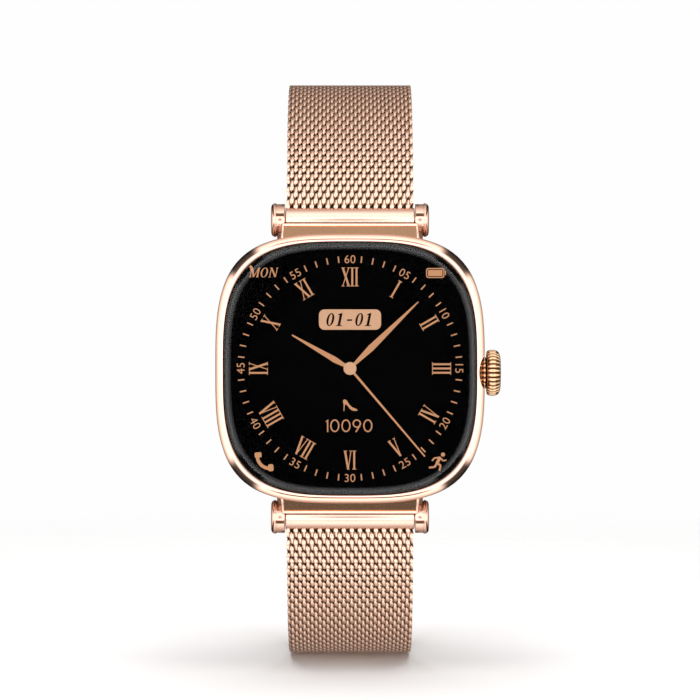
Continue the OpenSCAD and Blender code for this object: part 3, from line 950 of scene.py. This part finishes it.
# %% The path round the wrist
BEND_R = 23.3
BEND_Z = 17.6
bend_y = lug_y + math.sqrt(BEND_R**2 - (lug_z - BEND_Z) ** 2)
back_y = bend_y + BEND_R
lug_angle = math.degrees(math.asin((lug_z - BEND_Z) / BEND_R))


def band_path(end_z, joggle):
    """Points (y, z) of the middle of one half, from the lug axis to the end."""
    arc_steps, straight_steps = 120, 30
    angles = [math.radians(lug_angle + (180 - lug_angle) * i / arc_steps) for i in range(arc_steps + 1)]
    points = [(bend_y - BEND_R * math.cos(a), BEND_Z + BEND_R * math.sin(a)) for a in angles]
    for i in range(1, straight_steps + 1):
        share = i / straight_steps
        points.append((back_y + joggle * share**2 * (3 - 2 * share), BEND_Z + (end_z - BEND_Z) * share))
    return points


def path_length(points):
    return sum(math.dist(a, b) for a, b in zip(points, points[1:]))


def path_curve(points):
    clear_selection()
    bpy.ops.curve.primitive_bezier_curve_add()
    path = bpy.context.object
    path.data.dimensions = "2D"
    path.data.splines.clear()
    add_line(path.data, points)
    return path


tab_low, tab_high = node_box("tab_shell")
upper_end = node_box("upper_end_cap")[0].z + 0.4
lower_end = -node_box("lower_mesh")[1].z
joggle = node_box("lower_mesh")[1].y - node_box("upper_mesh")[1].y
print(f"back of the loop y {back_y:.2f}, joggle {joggle:.2f}, ends {upper_end:.2f} {lower_end:.2f}")

# %% [markdown]
# Each half is woven in two stretches, front and back, to keep every mesh light. The flat band gets
# its depth values first, then a Curve modifier bends it along the path, and it is turned to stand
# in the watch. The lower half is the mirror image of the upper one.

# %% Weave both halves
ROOT_GAP = 0.3
END_GAP = 0.85


def wire_depth(level):
    """How much painted shade a point gets: 0 on the outer face (level 1), 1 in the hollows, and between them
    on the wrist side.
    """
    if level < -0.6:
        return 0.45
    return min(1.0, max(0.0, (0.88 - level) / 0.5))


def weave(half_name, end_z, joggle_out, rows, flip):
    points = band_path(end_z, joggle_out)
    start = tube_r + ROOT_GAP
    row_step = (path_length(points) - start - END_GAP) / (rows - 1)
    pairs = rows // 2
    first_pair = 0
    for stretch, count in (("front", pairs - pairs // 2), ("back", pairs // 2)):
        band = repeat(row_pair(row_step), count, (2 * row_step, 0, 0))
        edit_all(band)
        bpy.ops.transform.translate(value=((start + first_pair * 2 * row_step) * MM, 0, 0))
        clear_selection()
        reach = (BAND_T + FLATTENING / 2 * WIRE_D) * MM
        mark_depth(band, [wire_depth(v.co.y / reach) for v in band.data.vertices])
        path = path_curve(points)
        modify(band, "CURVE", object=path, deform_axis="POS_X")
        bpy.data.objects.remove(path)
        settle(band, (math.radians(90), 0, math.radians(90)))
        band.scale = (1, 1, flip)
        settle(band)
        if flip < 0:
            edit_all(band)
            bpy.ops.mesh.flip_normals()
            clear_selection()
        replaced = [f"{half_name}_mesh"] if stretch == "front" else []
        hand_over(band, f"{half_name}_band_{stretch}", f"{half_name}_strap", "rose_wire", *replaced, angle=60)
        first_pair += count
    print(f"{half_name}: {rows} rows, {row_step:.3f} mm apart")


weave("upper", upper_end, 0, 90, 1)
weave("lower", lower_end, joggle, 86, -1)

# %% [markdown]
# ## Crown
# The crown is a barrel with wide ridges and narrow grooves. A cylinder with a set number of sides
# for each ridge is drawn out through stations, then the vertices that lie in a groove are pulled
# in towards the axis.

# %% Crown drum
FLUTES = 30
FLUTE_SHARES = [0.87, 0.95, 0.99, 1, 1, 1, 0.99, 0.95]


def turned(stations, sides, centre):
    """A solid turned about X, through (radius, x) stations."""
    radius, x = stations[0]
    clear_selection()
    bpy.ops.mesh.primitive_circle_add(
        vertices=sides, radius=radius * MM, fill_type="NGON", enter_editmode=True,
        location=(x * MM, centre[1] * MM, centre[2] * MM), rotation=(0, math.radians(90), 0),
    )
    for (r0, x0), (r1, x1) in zip(stations, stations[1:]):
        bpy.ops.mesh.extrude_region_move(TRANSFORM_OT_translate={"value": ((x1 - x0) * MM, 0, 0)})
        bpy.ops.transform.resize(
            value=(1, r1 / r0, r1 / r0), center_override=(x1 * MM, centre[1] * MM, centre[2] * MM)
        )
    return outward(settle(bpy.context.object))


def pull_in(piece, centre, count, shares, span):
    """Scales each side of a flute by its share of the radius, and marks its depth."""
    axis_y, axis_z = centre[1] * MM, centre[2] * MM

    def side_of(vertex):
        turn = math.atan2(vertex.co.z - axis_z, vertex.co.y - axis_y) / math.tau
        return round(turn * count * len(shares)) % len(shares)

    for side, share in enumerate(shares):
        if share == 1:
            continue
        edit(piece, "VERT")
        pick("verts", lambda v: side_of(v) == side and span[0] * MM < v.co.x < span[1] * MM)
        bpy.ops.transform.resize(value=(1, share, share), center_override=(0, axis_y, axis_z))
    clear_selection()
    deepest = 1 - min(shares)
    mark_depth(piece, [(1 - shares[side_of(v)]) / deepest for v in piece.data.vertices])
    return piece


drum_x0, drum_x1 = crown_low.x, crown_high.x
drum_stations = [
    (crown_r * 0.80, drum_x0), (crown_r * 0.90, drum_x0 + 0.03), (crown_r * 0.955, drum_x0 + 0.14),
    (crown_r * 0.985, drum_x0 + 0.35), (crown_r, drum_x0 + 0.65), (crown_r, drum_x0 + 0.95),
    (crown_r * 0.982, drum_x0 + 1.25), (crown_r * 0.945, drum_x0 + 1.5), (crown_r * 0.885, drum_x0 + 1.7),
    (crown_r * 0.80, drum_x0 + 1.83), (crown_r * 0.74, drum_x0 + 1.88), (crown_r * 0.70, drum_x0 + 1.84),
    (crown_r * 0.62, drum_x0 + 1.86), (crown_r * 0.35, drum_x1 - 0.02), (crown_r * 0.1, drum_x1),
]
drum = turned(drum_stations, FLUTES * len(FLUTE_SHARES), crown_centre)
pull_in(drum, crown_centre, FLUTES, FLUTE_SHARES, (drum_x0 - 0.1, drum_x0 + 1.79))
hand_over(drum, "crown_drum_fluted", "crown", "rose_polish", "crown_cap", material=FLUTED, angle=55)

# %% [markdown]
# Between the drum and the case sits a collar of two beaded rings. They are turned and pulled in
# the same way, with fewer and rounder beads.

# %% Crown collar
BEADS = 18
BEAD_SHARES = [0.91, 0.945, 0.98, 1, 1, 1, 0.98, 0.945]
collar_stations = []
for start_x, end_x in ((collar_low.x, collar_low.x + 0.5), (collar_low.x + 0.5, collar_high.x)):
    span_x = end_x - start_x
    scale = 0.93 if start_x > collar_low.x else 1.0
    collar_stations += [
        (collar_r * 0.84 * scale, start_x + 0.02), (collar_r * 0.96 * scale, start_x + 0.2 * span_x),
        (collar_r * scale, start_x + 0.5 * span_x), (collar_r * 0.96 * scale, start_x + 0.8 * span_x),
        (collar_r * 0.82 * scale, end_x - 0.01),
    ]
collar = turned(collar_stations, BEADS * len(BEAD_SHARES), crown_centre)
pull_in(collar, crown_centre, BEADS, BEAD_SHARES, (0, 30))
hand_over(collar, "crown_collar_beaded", "crown", "rose_dark", "crown_collar", material=FLUTED, angle=60)

# %% [markdown]
# ## Small machined parts
# No real edge is perfectly sharp, and it is the thin light along a rounded edge that makes a part
# look solid. The small parts keep their CAD shapes: a copy of each is merged into whole faces and
# its edges are bevelled.

# %% Softened copies of CAD nodes
def softened(node, width):
    """A copy of a CAD node, merged into whole faces, with its sharp edges rounded."""
    copy = frame["nodes"][node].copy()
    copy.data = copy.data.copy()
    copy.parent = None
    for key in list(copy.keys()):
        del copy[key]
    bpy.context.scene.collection.objects.link(copy)
    edit_all(copy)
    bpy.ops.mesh.remove_doubles(threshold=0.002 * MM)
    bpy.ops.mesh.dissolve_limited(angle_limit=math.radians(2))
    clear_selection()
    return bevel_edges(copy, width, 2, 35)


def soften_all(jobs):
    for node, width, body in jobs:
        hand_over(softened(node, width), f"{node}_softened", body, slot_of[node], node, angle=32, flat=True)


print("softening ready for", len(slot_of), "nodes")

# %% [markdown]
# ## Magnet clasp
# The tab is a slim box with a rounded outline and softened edges, hinged on the end of the lower
# half. A barrel with a hole is joined on for the hinge pin. Its back is hollowed twice: a deep
# pocket for the magnets, and a shallow one for the thin plate that covers them.

# %% Magnet tab
tab_half = 8.7
EDGE_TOLERANCE = 0.001 * MM
CORNER_R = 1.6
RIM_R = 0.55
PIN_HOLE_R = 0.55
tab_start = node_box("tab_plate")[0].z - 1.15
tab_shell = box_between((-tab_half, tab_low.y, tab_start), (tab_half, tab_high.y, tab_high.z))
edit(tab_shell, "EDGE")
pick("edges", lambda e: abs(e.verts[0].co.y - e.verts[1].co.y) > MM)
bpy.ops.mesh.bevel(offset=CORNER_R * MM, segments=12, profile=0.5)
bpy.ops.mesh.select_all(action="DESELECT")
pick("edges", lambda e: all(v.co.y > tab_high.y * MM - EDGE_TOLERANCE for v in e.verts))
bpy.ops.mesh.bevel(offset=RIM_R * MM, segments=6, profile=0.5)
clear_selection()
knuckle_r = (tab_high.y - tab_low.y) / 2
pin_y = (tab_low.y + tab_high.y) / 2
pin_z = tab_low.z + knuckle_r
carve(tab_shell, bevel_edges(cylinder(knuckle_r, 6, (0, pin_y, pin_z), "X"), 0.12, 3), "UNION")
carve(tab_shell, box_between((-3, tab_low.y, pin_z), (3, tab_high.y - 0.25, tab_start + 1)), "UNION")
carve(tab_shell, cylinder(PIN_HOLE_R, 8, (0, pin_y, pin_z), "X", 48))
for margin, depth in ((1.4, 1.4), (1.1, 0.2)):
    pocket_half = 9.0 - margin
    carve(tab_shell, box_between(
        (-pocket_half, tab_low.y - 1, tab_start + margin),
        (pocket_half, tab_low.y + depth, tab_high.z - margin),
    ))
hand_over(
    outward(tab_shell), "clasp_tab_polished", "clasp_tab", "rose_polish", "tab_shell", angle=28, flat=True
)
soften_all([
    ("tab_plate", 0.05, "clasp_tab"),
    ("lower_end_clamp", 0.12, "lower_strap"),
    ("upper_end_cap", 0.05, "upper_strap"),
    ("tab_hinge_pin", 0.1, "lower_strap"),
])

# %% [markdown]
# ## Back of the case
# The back cover, its screws and the sensor window keep their CAD shapes, with soft edges.

# %% Back cover and sensor window
soften_all([
    ("back_cover", 0.12, "case"),
    ("back_screws", 0.06, "case"),
    ("sensor_window", 0.1, "case"),
    ("charging_contacts", 0.08, "case"),
    ("upper_release_tip", 0.08, "upper_release"),
    ("lower_release_tip", 0.08, "lower_release"),
])

# %% [markdown]
# ## The dial
# Everything on the display is a flat shape of light. Each one is a closed 2D curve, filled and
# given a hair of thickness, which needs only the corners that the shape really has. The strokes
# lie just inside the glass, because a real display is bonded to it with no air between. Shapes
# that cross go in layers, one a hair above the other, because one filled curve would show a hole
# where they overlap.

# %% Flat shapes of light
GLYPH_T = 0.02
LAYER_STEP = 0.006
dial_level = border_level + 0.002


def flat_shape(outlines, layer=0):
    """One mesh of filled outlines, in millimetres; an outline inside another is a hole."""
    clear_selection()
    bpy.ops.curve.primitive_bezier_circle_add(location=(0, 0, (dial_level + layer * LAYER_STEP) * MM))
    piece = bpy.context.object
    curve = piece.data
    curve.dimensions = "2D"
    curve.fill_mode = "BOTH"
    curve.extrude = GLYPH_T / 2 * MM
    curve.splines.clear()
    for outline in outlines:
        add_line(curve, outline, closed=True)
    bpy.ops.object.convert(target="MESH")
    return settle(bpy.context.object, STAND_UP)


def on_dial(name, layers, material=None, first=0):
    """Joins the layers of a shape, counted from a first layer, and gives it to the case."""
    pieces = [flat_shape(outlines, layer) for layer, outlines in enumerate(layers, first) if outlines]
    piece = join(*pieces) if len(pieces) > 1 else pieces[0]
    return hand_over(outward(piece), name, "case", "display", material=material or GLOW)


def turn_points(points, degrees_clockwise, radius=0):
    """Turns points about the dial's centre, after moving them out along twelve o'clock."""
    a = -math.radians(degrees_clockwise)
    cos_a, sin_a = math.cos(a), math.sin(a)
    return [(x * cos_a - (y + radius) * sin_a, x * sin_a + (y + radius) * cos_a) for x, y in points]


def shift_points(points, dx, dy, scale=1.0, lean=0.0):
    return [(x * scale + y * lean * scale + dx, y * scale + dy) for x, y in points]


def rectangle(x0, y0, x1, y1):
    return [(x0, y0), (x1, y0), (x1, y1), (x0, y1)]


def stroke(x_low, x_high, y_low, y_high, width):
    """A slanted stroke with level ends."""
    w = width / 2
    return [(x_low - w, y_low), (x_low + w, y_low), (x_high + w, y_high), (x_high - w, y_high)]


def ellipse(cx, cy, rx, ry, count=32):
    turns = [math.tau * i / count for i in range(count)]
    return [(cx + rx * math.cos(t), cy + ry * math.sin(t)) for t in turns]


def rounded_rectangle(width, height, radius, steps=6):
    points = []
    for quadrant, (sx, sy) in enumerate(((1, 1), (-1, 1), (-1, -1), (1, -1))):
        for i in range(steps + 1):
            a = math.radians(90) * (quadrant + i / steps)
            cx, cy = sx * (width / 2 - radius), sy * (height / 2 - radius)
            points.append((cx + radius * math.cos(a), cy + radius * math.sin(a)))
    return points


print("dial tools ready")

# %% [markdown]
# ### Hour numerals
# Roman numerals are built from three letters. Each letter has thick stems, thin strokes and flat
# serifs, one layer for each. Letters are drawn one unit high about their own middle, then sized,
# and turned round the dial.

# %% Hour numerals
NUMERAL_RING = 12.53
NUMERAL_H = 2.62
STEM = 0.098
HAIR = 0.045
SERIF = 0.035
FOOT, HEAD = -0.475, 0.475


def serif(x, low, high, y, thick=SERIF):
    return rectangle(x + low, y - thick / 2, x + high, y + thick / 2)


def letter_i(x):
    stems = [rectangle(x - STEM / 2, -0.47, x + STEM / 2, 0.47)]
    return stems, [serif(x, -0.11, 0.11, y) for y in (FOOT, HEAD)], []


def letter_x(x):
    spread = 0.155
    stems = [stroke(x + spread, x - spread, -0.47, 0.47, STEM * 1.15)]
    hairs = [stroke(x - spread, x + spread, -0.47, 0.47, HAIR)]
    serifs = [
        serif(x, -0.225, -0.04, HEAD), serif(x, 0.07, 0.225, HEAD),
        serif(x, -0.225, -0.07, FOOT), serif(x, 0.04, 0.225, FOOT),
    ]
    return stems, serifs, hairs


def letter_v(x):
    stems = [stroke(x + 0.02, x - 0.15, -0.5, 0.47, STEM * 1.1)]
    hairs = [stroke(x + 0.02, x + 0.16, -0.48, 0.47, HAIR)]
    return stems, [serif(x, -0.215, -0.04, HEAD), serif(x, 0.075, 0.215, HEAD)], hairs


LETTERS = {"I": (letter_i, 0.222), "V": (letter_v, 0.44), "X": (letter_x, 0.46)}
NUMERALS = ["XII", "I", "II", "III", "IV", "V", "VI", "VII", "VIII", "IX", "X", "XI"]


def numeral(text, hour):
    """The layers of one numeral in its place; the lower ones are turned to stay readable."""
    width = sum(LETTERS[letter][1] for letter in text)
    upside = 180 if 3 < hour < 9 else 0
    layers = [[], [], []]
    x = -width / 2
    for letter in text:
        draw, advance = LETTERS[letter]
        for layer, outlines in zip(layers, draw(x + advance / 2)):
            for outline in outlines:
                sized = turn_points(shift_points(outline, 0, 0, NUMERAL_H), upside)
                layer.append(turn_points(sized, hour * 30, NUMERAL_RING))
        x += advance
    return layers


numeral_layers = [[], [], []]
for hour, text in enumerate(NUMERALS):
    for layer, outlines in zip(numeral_layers, numeral(text, hour)):
        layer.extend(outlines)
on_dial("dial_hour_numerals", numeral_layers)

# %% [markdown]
# ### Minute track
# Four ticks stand between each pair of minute numbers. The numbers are Blender's own plain
# figures, made into a mesh before they are moved, and turned upright in the lower half.

# %% Minute track
TRACK_R = 14.96
tick = rectangle(-0.085, -0.44, 0.085, 0.44)
ticks = [turn_points(tick, minute * 6, TRACK_R) for minute in range(60) if minute % 5]
on_dial("dial_minute_ticks", [ticks])


def figures(text, height, x, y, turn, spacing, weight):
    """A line of plain figures, centred on a place of the dial."""
    clear_selection()
    bpy.ops.object.text_add()
    piece = bpy.context.object
    words = piece.data
    words.body = text
    words.size = height / 0.7 * MM
    words.space_character = spacing
    words.offset = weight * MM
    words.extrude = GLYPH_T / 2 * MM
    words.align_x = "CENTER"
    words.resolution_u = 6
    bpy.ops.object.convert(target="MESH")
    piece = bpy.context.object
    across = [v.co.x for v in piece.data.vertices]
    middle = (max(across) + min(across)) / 2
    piece.data.transform(Matrix.Translation((-middle, -height / 2 * MM, 0)))
    piece.rotation_euler = (0, 0, -math.radians(turn))
    piece.location = (x * MM, y * MM, dial_level * MM)
    return settle(piece, STAND_UP)


minute_figures = []
for number in range(12):
    degrees = number * 30
    upside = 180 if 3 < number < 9 else 0
    place = turn_points([(0, 0)], degrees, TRACK_R)[0]
    text = "60" if number == 0 else f"{number * 5:02d}"
    minute_figures.append(figures(text, 1.1, *place, turn=degrees + upside, spacing=1.05, weight=-0.006))
hand_over(outward(join(*minute_figures)), "dial_minute_numbers", "case", "display", material=GLOW)

# %% [markdown]
# ### Hands
# The hour and minute hands are slim leaves, widest a quarter of the way out. They lie over the
# numerals, and the hub covers their ends.

# %% Hands
HOUR_ANGLE, MINUTE_ANGLE, SECOND_ANGLE = -60, 45.7, 139.6


def leaf(length, widest_at, width, tip, root=0.3):
    return [
        (-root / 2, 0), (root / 2, 0), (width / 2, widest_at), (width * 0.42, widest_at * 1.5),
        (tip / 2, length), (-tip / 2, length), (-width * 0.42, widest_at * 1.5), (-width / 2, widest_at),
    ]


hour_hand = leaf(length=9.17, widest_at=2.4, width=0.80, tip=0.18)
minute_hand = leaf(length=13.06, widest_at=4.0, width=0.90, tip=0.14)
second_hand = [(-0.16, 0), (0.16, 0), (0.10, 15.8), (-0.10, 15.8)]
on_dial("dial_hour_hand", [[turn_points(hour_hand, HOUR_ANGLE)]], first=3)
on_dial("dial_minute_hand", [[turn_points(minute_hand, MINUTE_ANGLE)]], first=3)
on_dial("dial_second_hand", [[turn_points(second_hand, SECOND_ANGLE)]], first=4)
on_dial("dial_hub", [[ellipse(0, 0, 0.88, 0.88, 48)]], GLOW_PALE, first=5)

# %% [markdown]
# ### Date
# The date sits in a rounded window of light, in dark slanted figures. A nought is a ring between
# two ovals, and a one has a flag and a foot.

# %% Date window
DATE_Y = 6.69
date_window = [shift_points(rounded_rectangle(8.5, 2.78, 0.75), 0, DATE_Y)]
on_dial("dial_date_window", [date_window], GLOW_PALE)


def figure_nought(x):
    return [ellipse(x, 0, 0.29, 0.5, 36), ellipse(x, 0, 0.12, 0.43, 36)]


def figure_one(x):
    return [[
        (x - 0.22, -0.5), (x + 0.24, -0.5), (x + 0.24, -0.43), (x + 0.1, -0.43), (x + 0.1, 0.5),
        (x - 0.02, 0.5), (x - 0.22, 0.4), (x - 0.22, 0.33), (x - 0.1, 0.36), (x - 0.1, -0.43),
        (x - 0.22, -0.43),
    ]]


def dash(x):
    return [rectangle(x - 0.2, -0.1, x + 0.2, 0.02)]


date_shapes = [
    *figure_nought(-1.52), *figure_one(-0.78), *dash(-0.04), *figure_nought(0.7), *figure_one(1.44),
]
date_lines = [shift_points(outline, 0.02, DATE_Y, 1.78, 0.2) for outline in date_shapes]
on_dial("dial_date_figures", [date_lines], INK, first=2)

# %% [markdown]
# ### Weekday
# The weekday has slanted letters with serifs, in the same three layers as the numerals. They are
# drawn upright, and the slant is added when they are put in place.

# %% Weekday
BOLD, THIN, SLAB = 0.17, 0.085, 0.05


def drawn_line(letters, x, y, size, lean=0.0):
    """The layers of a line of letters, each given with its place along the line."""
    layers = [[], [], []]
    for draw, place in letters:
        for layer, outlines in zip(layers, draw(place)):
            layer.extend(shift_points(outline, x, y, size, lean) for outline in outlines)
    return layers


def letter_m(x):
    stems = [stroke(x - 0.31, x - 0.02, 0.47, -0.47, BOLD), stroke(x + 0.36, x + 0.36, -0.47, 0.47, BOLD)]
    hairs = [stroke(x - 0.36, x - 0.36, -0.47, 0.47, THIN), stroke(x - 0.02, x + 0.34, -0.47, 0.47, THIN)]
    places = ((-0.36, FOOT), (0.36, FOOT), (-0.38, HEAD), (0.38, HEAD))
    return stems, [serif(x + place, -0.13, 0.13, y, SLAB) for place, y in places], hairs


def letter_o(x):
    return [ellipse(x, 0, 0.37, 0.5, 40), ellipse(x, 0, 0.21, 0.44, 40)], [], []


def letter_n(x):
    stems = [stroke(x - 0.28, x + 0.28, 0.47, -0.47, BOLD)]
    hairs = [stroke(x + place, x + place, -0.47, 0.47, THIN) for place in (-0.3, 0.3)]
    places = ((-0.3, FOOT), (-0.34, HEAD), (0.3, HEAD))
    return stems, [serif(x + place, -0.12, 0.12, y, SLAB) for place, y in places], hairs


weekday = [(letter_m, -0.98), (letter_o, 0.02), (letter_n, 0.96)]
on_dial("dial_weekday", drawn_line(weekday, -11.74, 13.13, 1.32, 0.22))

# %% [markdown]
# ### Step count
# The step count is set in a light round face: the nought is an oval ring, and the nine is a
# circle with a straight leg.

# %% Step count
PEN = 0.1


def pen_ring(x, y, rx, ry):
    return [ellipse(x, y, rx, ry, 40), ellipse(x, y, rx - PEN, ry - PEN, 40)]


def light_nought(x):
    return [pen_ring(x, 0, 0.36, 0.5)]


def light_one(x):
    flag = [(x + 0.05, 0.5), (x - 0.14, 0.36), (x - 0.14, 0.27), (x - 0.05, 0.32)]
    return [[flag + [(x - 0.05, -0.5), (x + 0.05, -0.5)]]]


def light_nine(x):
    leg = [(x + 0.33, 0.19), (x + 0.23, 0.19), (x + 0.18, 0.0)]
    return [pen_ring(x, 0.17, 0.33, 0.33), [leg + [(x - 0.14, -0.5), (x - 0.02, -0.5), (x + 0.28, -0.02)]]]


steps = [
    (light_one, -1.86), (light_nought, -1.3), (light_nought, -0.42), (light_nine, 0.43), (light_nought, 1.3),
]
on_dial("dial_step_count", drawn_line(steps, 0.18, -7.83, 1.74))

# %% [markdown]
# ### Icons
# Four small signs: a battery, a telephone, a runner and a shoe over the step count. Each is a few
# bars, rings and arcs, drawn about its own middle and moved to its corner.

# %% Battery and telephone
def icon(name, layers, x, y):
    on_dial(name, [[shift_points(outline, x, y) for outline in layer] for layer in layers])


battery = [
    rounded_rectangle(2.5, 1.36, 0.3), rounded_rectangle(2.2, 1.06, 0.18),
    rectangle(-0.98, -0.42, 0.98, 0.42), rectangle(1.32, -0.28, 1.46, 0.28),
]
icon("dial_battery_icon", [battery], 11.66, 13.06)


def arc_band(radius_in, radius_out, start, end, steps=16):
    angles = [math.radians(start + (end - start) * i / steps) for i in range(steps + 1)]
    outer = [(radius_out * math.cos(a), radius_out * math.sin(a)) for a in angles]
    inner = [(radius_in * math.cos(a), radius_in * math.sin(a)) for a in reversed(angles)]
    return outer + inner


handset = [arc_band(1.5, 1.95, 185, 265)]
earpieces = [
    shift_points(turn_points(rounded_rectangle(0.95, 0.72, 0.2), -5), -1.62, 0.12),
    shift_points(turn_points(rounded_rectangle(0.72, 0.95, 0.2), -5), 0.12, -1.62),
]
icon("dial_phone_icon", [handset, earpieces], -10.95, -11.95)

# %% [markdown]
# The runner is a head and nine limbs. Limbs that meet are kept in different layers. The shoe is
# one outline, with the few corners that a court shoe needs.

# %% Runner and shoe
def limb(x0, y0, x1, y1, width):
    """A straight limb between two points, as a thin rectangle."""
    length = math.hypot(x1 - x0, y1 - y0)
    nx, ny = -(y1 - y0) / length * width / 2, (x1 - x0) / length * width / 2
    return [(x0 + nx, y0 + ny), (x0 - nx, y0 - ny), (x1 - nx, y1 - ny), (x1 + nx, y1 + ny)]


head = ellipse(0.72, 1.0, 0.28, 0.28, 20)
runner = [
    [head, limb(-0.12, -0.2, -0.42, -0.72, 0.3), limb(0.4, -0.44, 0.22, -1.2, 0.24)],
    [
        limb(0.35, 0.65, -0.12, -0.2, 0.42), limb(-0.4, -0.7, -1.2, -0.78, 0.26),
        limb(0.78, 0.14, 1.2, 0.26, 0.18),
    ],
    [limb(0.38, 0.62, -0.42, 0.52, 0.2), limb(-0.15, -0.15, 0.42, -0.5, 0.28)],
    [limb(-0.42, 0.56, -0.78, 0.14, 0.2), limb(0.4, 0.5, 0.78, 0.12, 0.2)],
]
icon("dial_runner_icon", runner, 12.0, -12.77)
shoe = [
    (-0.98, 0.62), (-0.72, 0.80), (-0.42, 0.62), (-0.12, 0.12), (0.30, -0.30), (0.78, -0.48),
    (1.0, -0.62), (1.0, -0.78), (0.42, -0.78), (0.02, -0.56), (-0.36, -0.06), (-0.62, 0.16),
    (-0.72, -0.10), (-0.78, -0.80), (-0.90, -0.80), (-0.86, 0.0),
]
icon("dial_shoe_icon", [[shoe]], 0, -5.01)

# %% [markdown]
# ## Studio
# ### Floor
# The watch stands on a pale sheet of paper that runs out of sight. The floor is one disc whose
# Alpha falls away with distance, so that it melts into the surround with no horizon. It is hidden
# from mirror-like metal, which would show its edge.

# %% Floor
clear_selection()
floor_level = cad_box[0][2] - 0.2 * MM
bpy.ops.mesh.primitive_circle_add(vertices=96, radius=1.2, fill_type="NGON", location=(0, 0, floor_level))
floor = settle(bpy.context.object)
floor.name = "floor"
paper = Finish("pale_floor", Metallic=0.0, Roughness=0.6)
away = paper.node("ShaderNodeVectorMath", {"operation": "LENGTH"}, paper.place(), out="Value")
paper.set("Alpha", paper.node("ShaderNodeMapRange", None, away, 0.09, 0.4, 1.0, 0.0))
paper.set("Base Color", paper.mix(paper.noise(90, 2), (0.50, 0.50, 0.50), (0.47, 0.47, 0.475)))
floor.data.materials.append(paper.material)
floor.visible_glossy = False
print("floor at", round(floor_level, 4))

# %% [markdown]
# ### Surround
# Polished metal is a picture of its surroundings, so the room that it mirrors is a tent of four
# white cards round the lens, built from the direction of the mirrored ray. The lens leaves a dark
# hole, the gaps between the cards are dark and show as wedges on the corners of the bezel, and a
# grey card above and a dark one below tone the hoods of the lugs. The camera itself sees only a
# plain pale surround.

# %% Surround
world = bpy.data.worlds.new("studio")
bpy.context.scene.world = world
world.use_nodes = True
sky = Shading(world.node_tree, "Background")
direction = sky.node("ShaderNodeTexCoord", out="Generated")
split = sky.node("ShaderNodeSeparateXYZ", None, direction)
side, depth_way, height = (Wire(sky, socket) for socket in split.socket.node.outputs)
toward_lens = depth_way * -1
from_lens = toward_lens.maths("ARCCOSINE", toward_lens) * (1 / math.pi)
radial = sky.node(
    "ShaderNodeValToRGB",
    {"stops": [
        (0.0, (0, 0, 0)), (0.032, (0, 0, 0)), (0.062, (0.5, 0.5, 0.5)), (0.1, (1.0, 1.0, 1.0)),
        (0.26, (0.80, 0.79, 0.78)), (0.45, (0.40, 0.39, 0.38)), (0.62, (0.19, 0.17, 0.155)),
        (1.0, (0.045, 0.034, 0.03)),
    ]},
    from_lens,
)


def fade(value, start, end, first, last, interpolation="SMOOTHSTEP"):
    settings = {"interpolation_type": interpolation}
    return sky.node("ShaderNodeMapRange", settings, value, start, end, first, last)


across = side * side + height * height + 0.0001
diagonal = side * height * 2 / across
seam = fade(diagonal.maths("ABSOLUTE", diagonal), 0.80, 0.94, 0.0, 0.96)
gap = 1 - seam * fade(from_lens, 0.14, 0.22, 0.0, 1.0)
tilt_up = height / (across ** 0.5)
card = fade(from_lens, 0.165, 0.178, 0.0, 1.0) * fade(from_lens, 0.214, 0.228, 1.0, 0.0)
above = fade(tilt_up, 0.9, 0.96, 0.0, 0.78, "LINEAR")
below = fade(tilt_up, -0.96, -0.9, 0.94, 0.0, "LINEAR")
shade = gap * (1 - card * above) * (1 - card * below) * 2.6
seen = sky.node("ShaderNodeLightPath", out="Is Camera Ray")
room = sky.node("ShaderNodeVectorMath", {"operation": "SCALE"}, radial, Scale=shade)
sky.set("Color", sky.mix(seen, room, (0.99, 0.99, 0.99)))
sky.set("Strength", 1.0)
print("surround ready")

# %% [markdown]
# ### Lights
# One large soft box hangs above the watch, a hand's width behind it, and gives the soft shadow on
# the floor. Two weak ones fill the sides. They are hidden from the mirror-like metal, because the
# tent of cards already gives it all its highlights.

# %% Lights
def softbox(name, place, size, watts, colour=(1, 1, 1)):
    """A rectangular light that faces the watch."""
    light = bpy.data.lights.new(name, "AREA")
    light.shape = "RECTANGLE"
    light.size, light.size_y = size
    light.energy = watts
    light.color = colour
    lamp = bpy.data.objects.new(name, light)
    lamp.location = place
    lamp.rotation_euler = (-Vector(place)).to_track_quat("-Z", "Y").to_euler()
    lamp.visible_glossy = False
    bpy.context.scene.collection.objects.link(lamp)
    print(f"{name}: {watts} W")


softbox("key_box", (0.0, 0.05, 0.62), (0.5, 0.85), 10.4, (1.0, 0.99, 0.98))
softbox("left_box", (-0.5, -0.30, 0.10), (0.25, 0.7), 1.2)
softbox("right_box", (0.5, -0.30, 0.10), (0.25, 0.7), 1.2)

# %% [markdown]
# ## Finish

# %% Finish
bpy.context.view_layer.update()
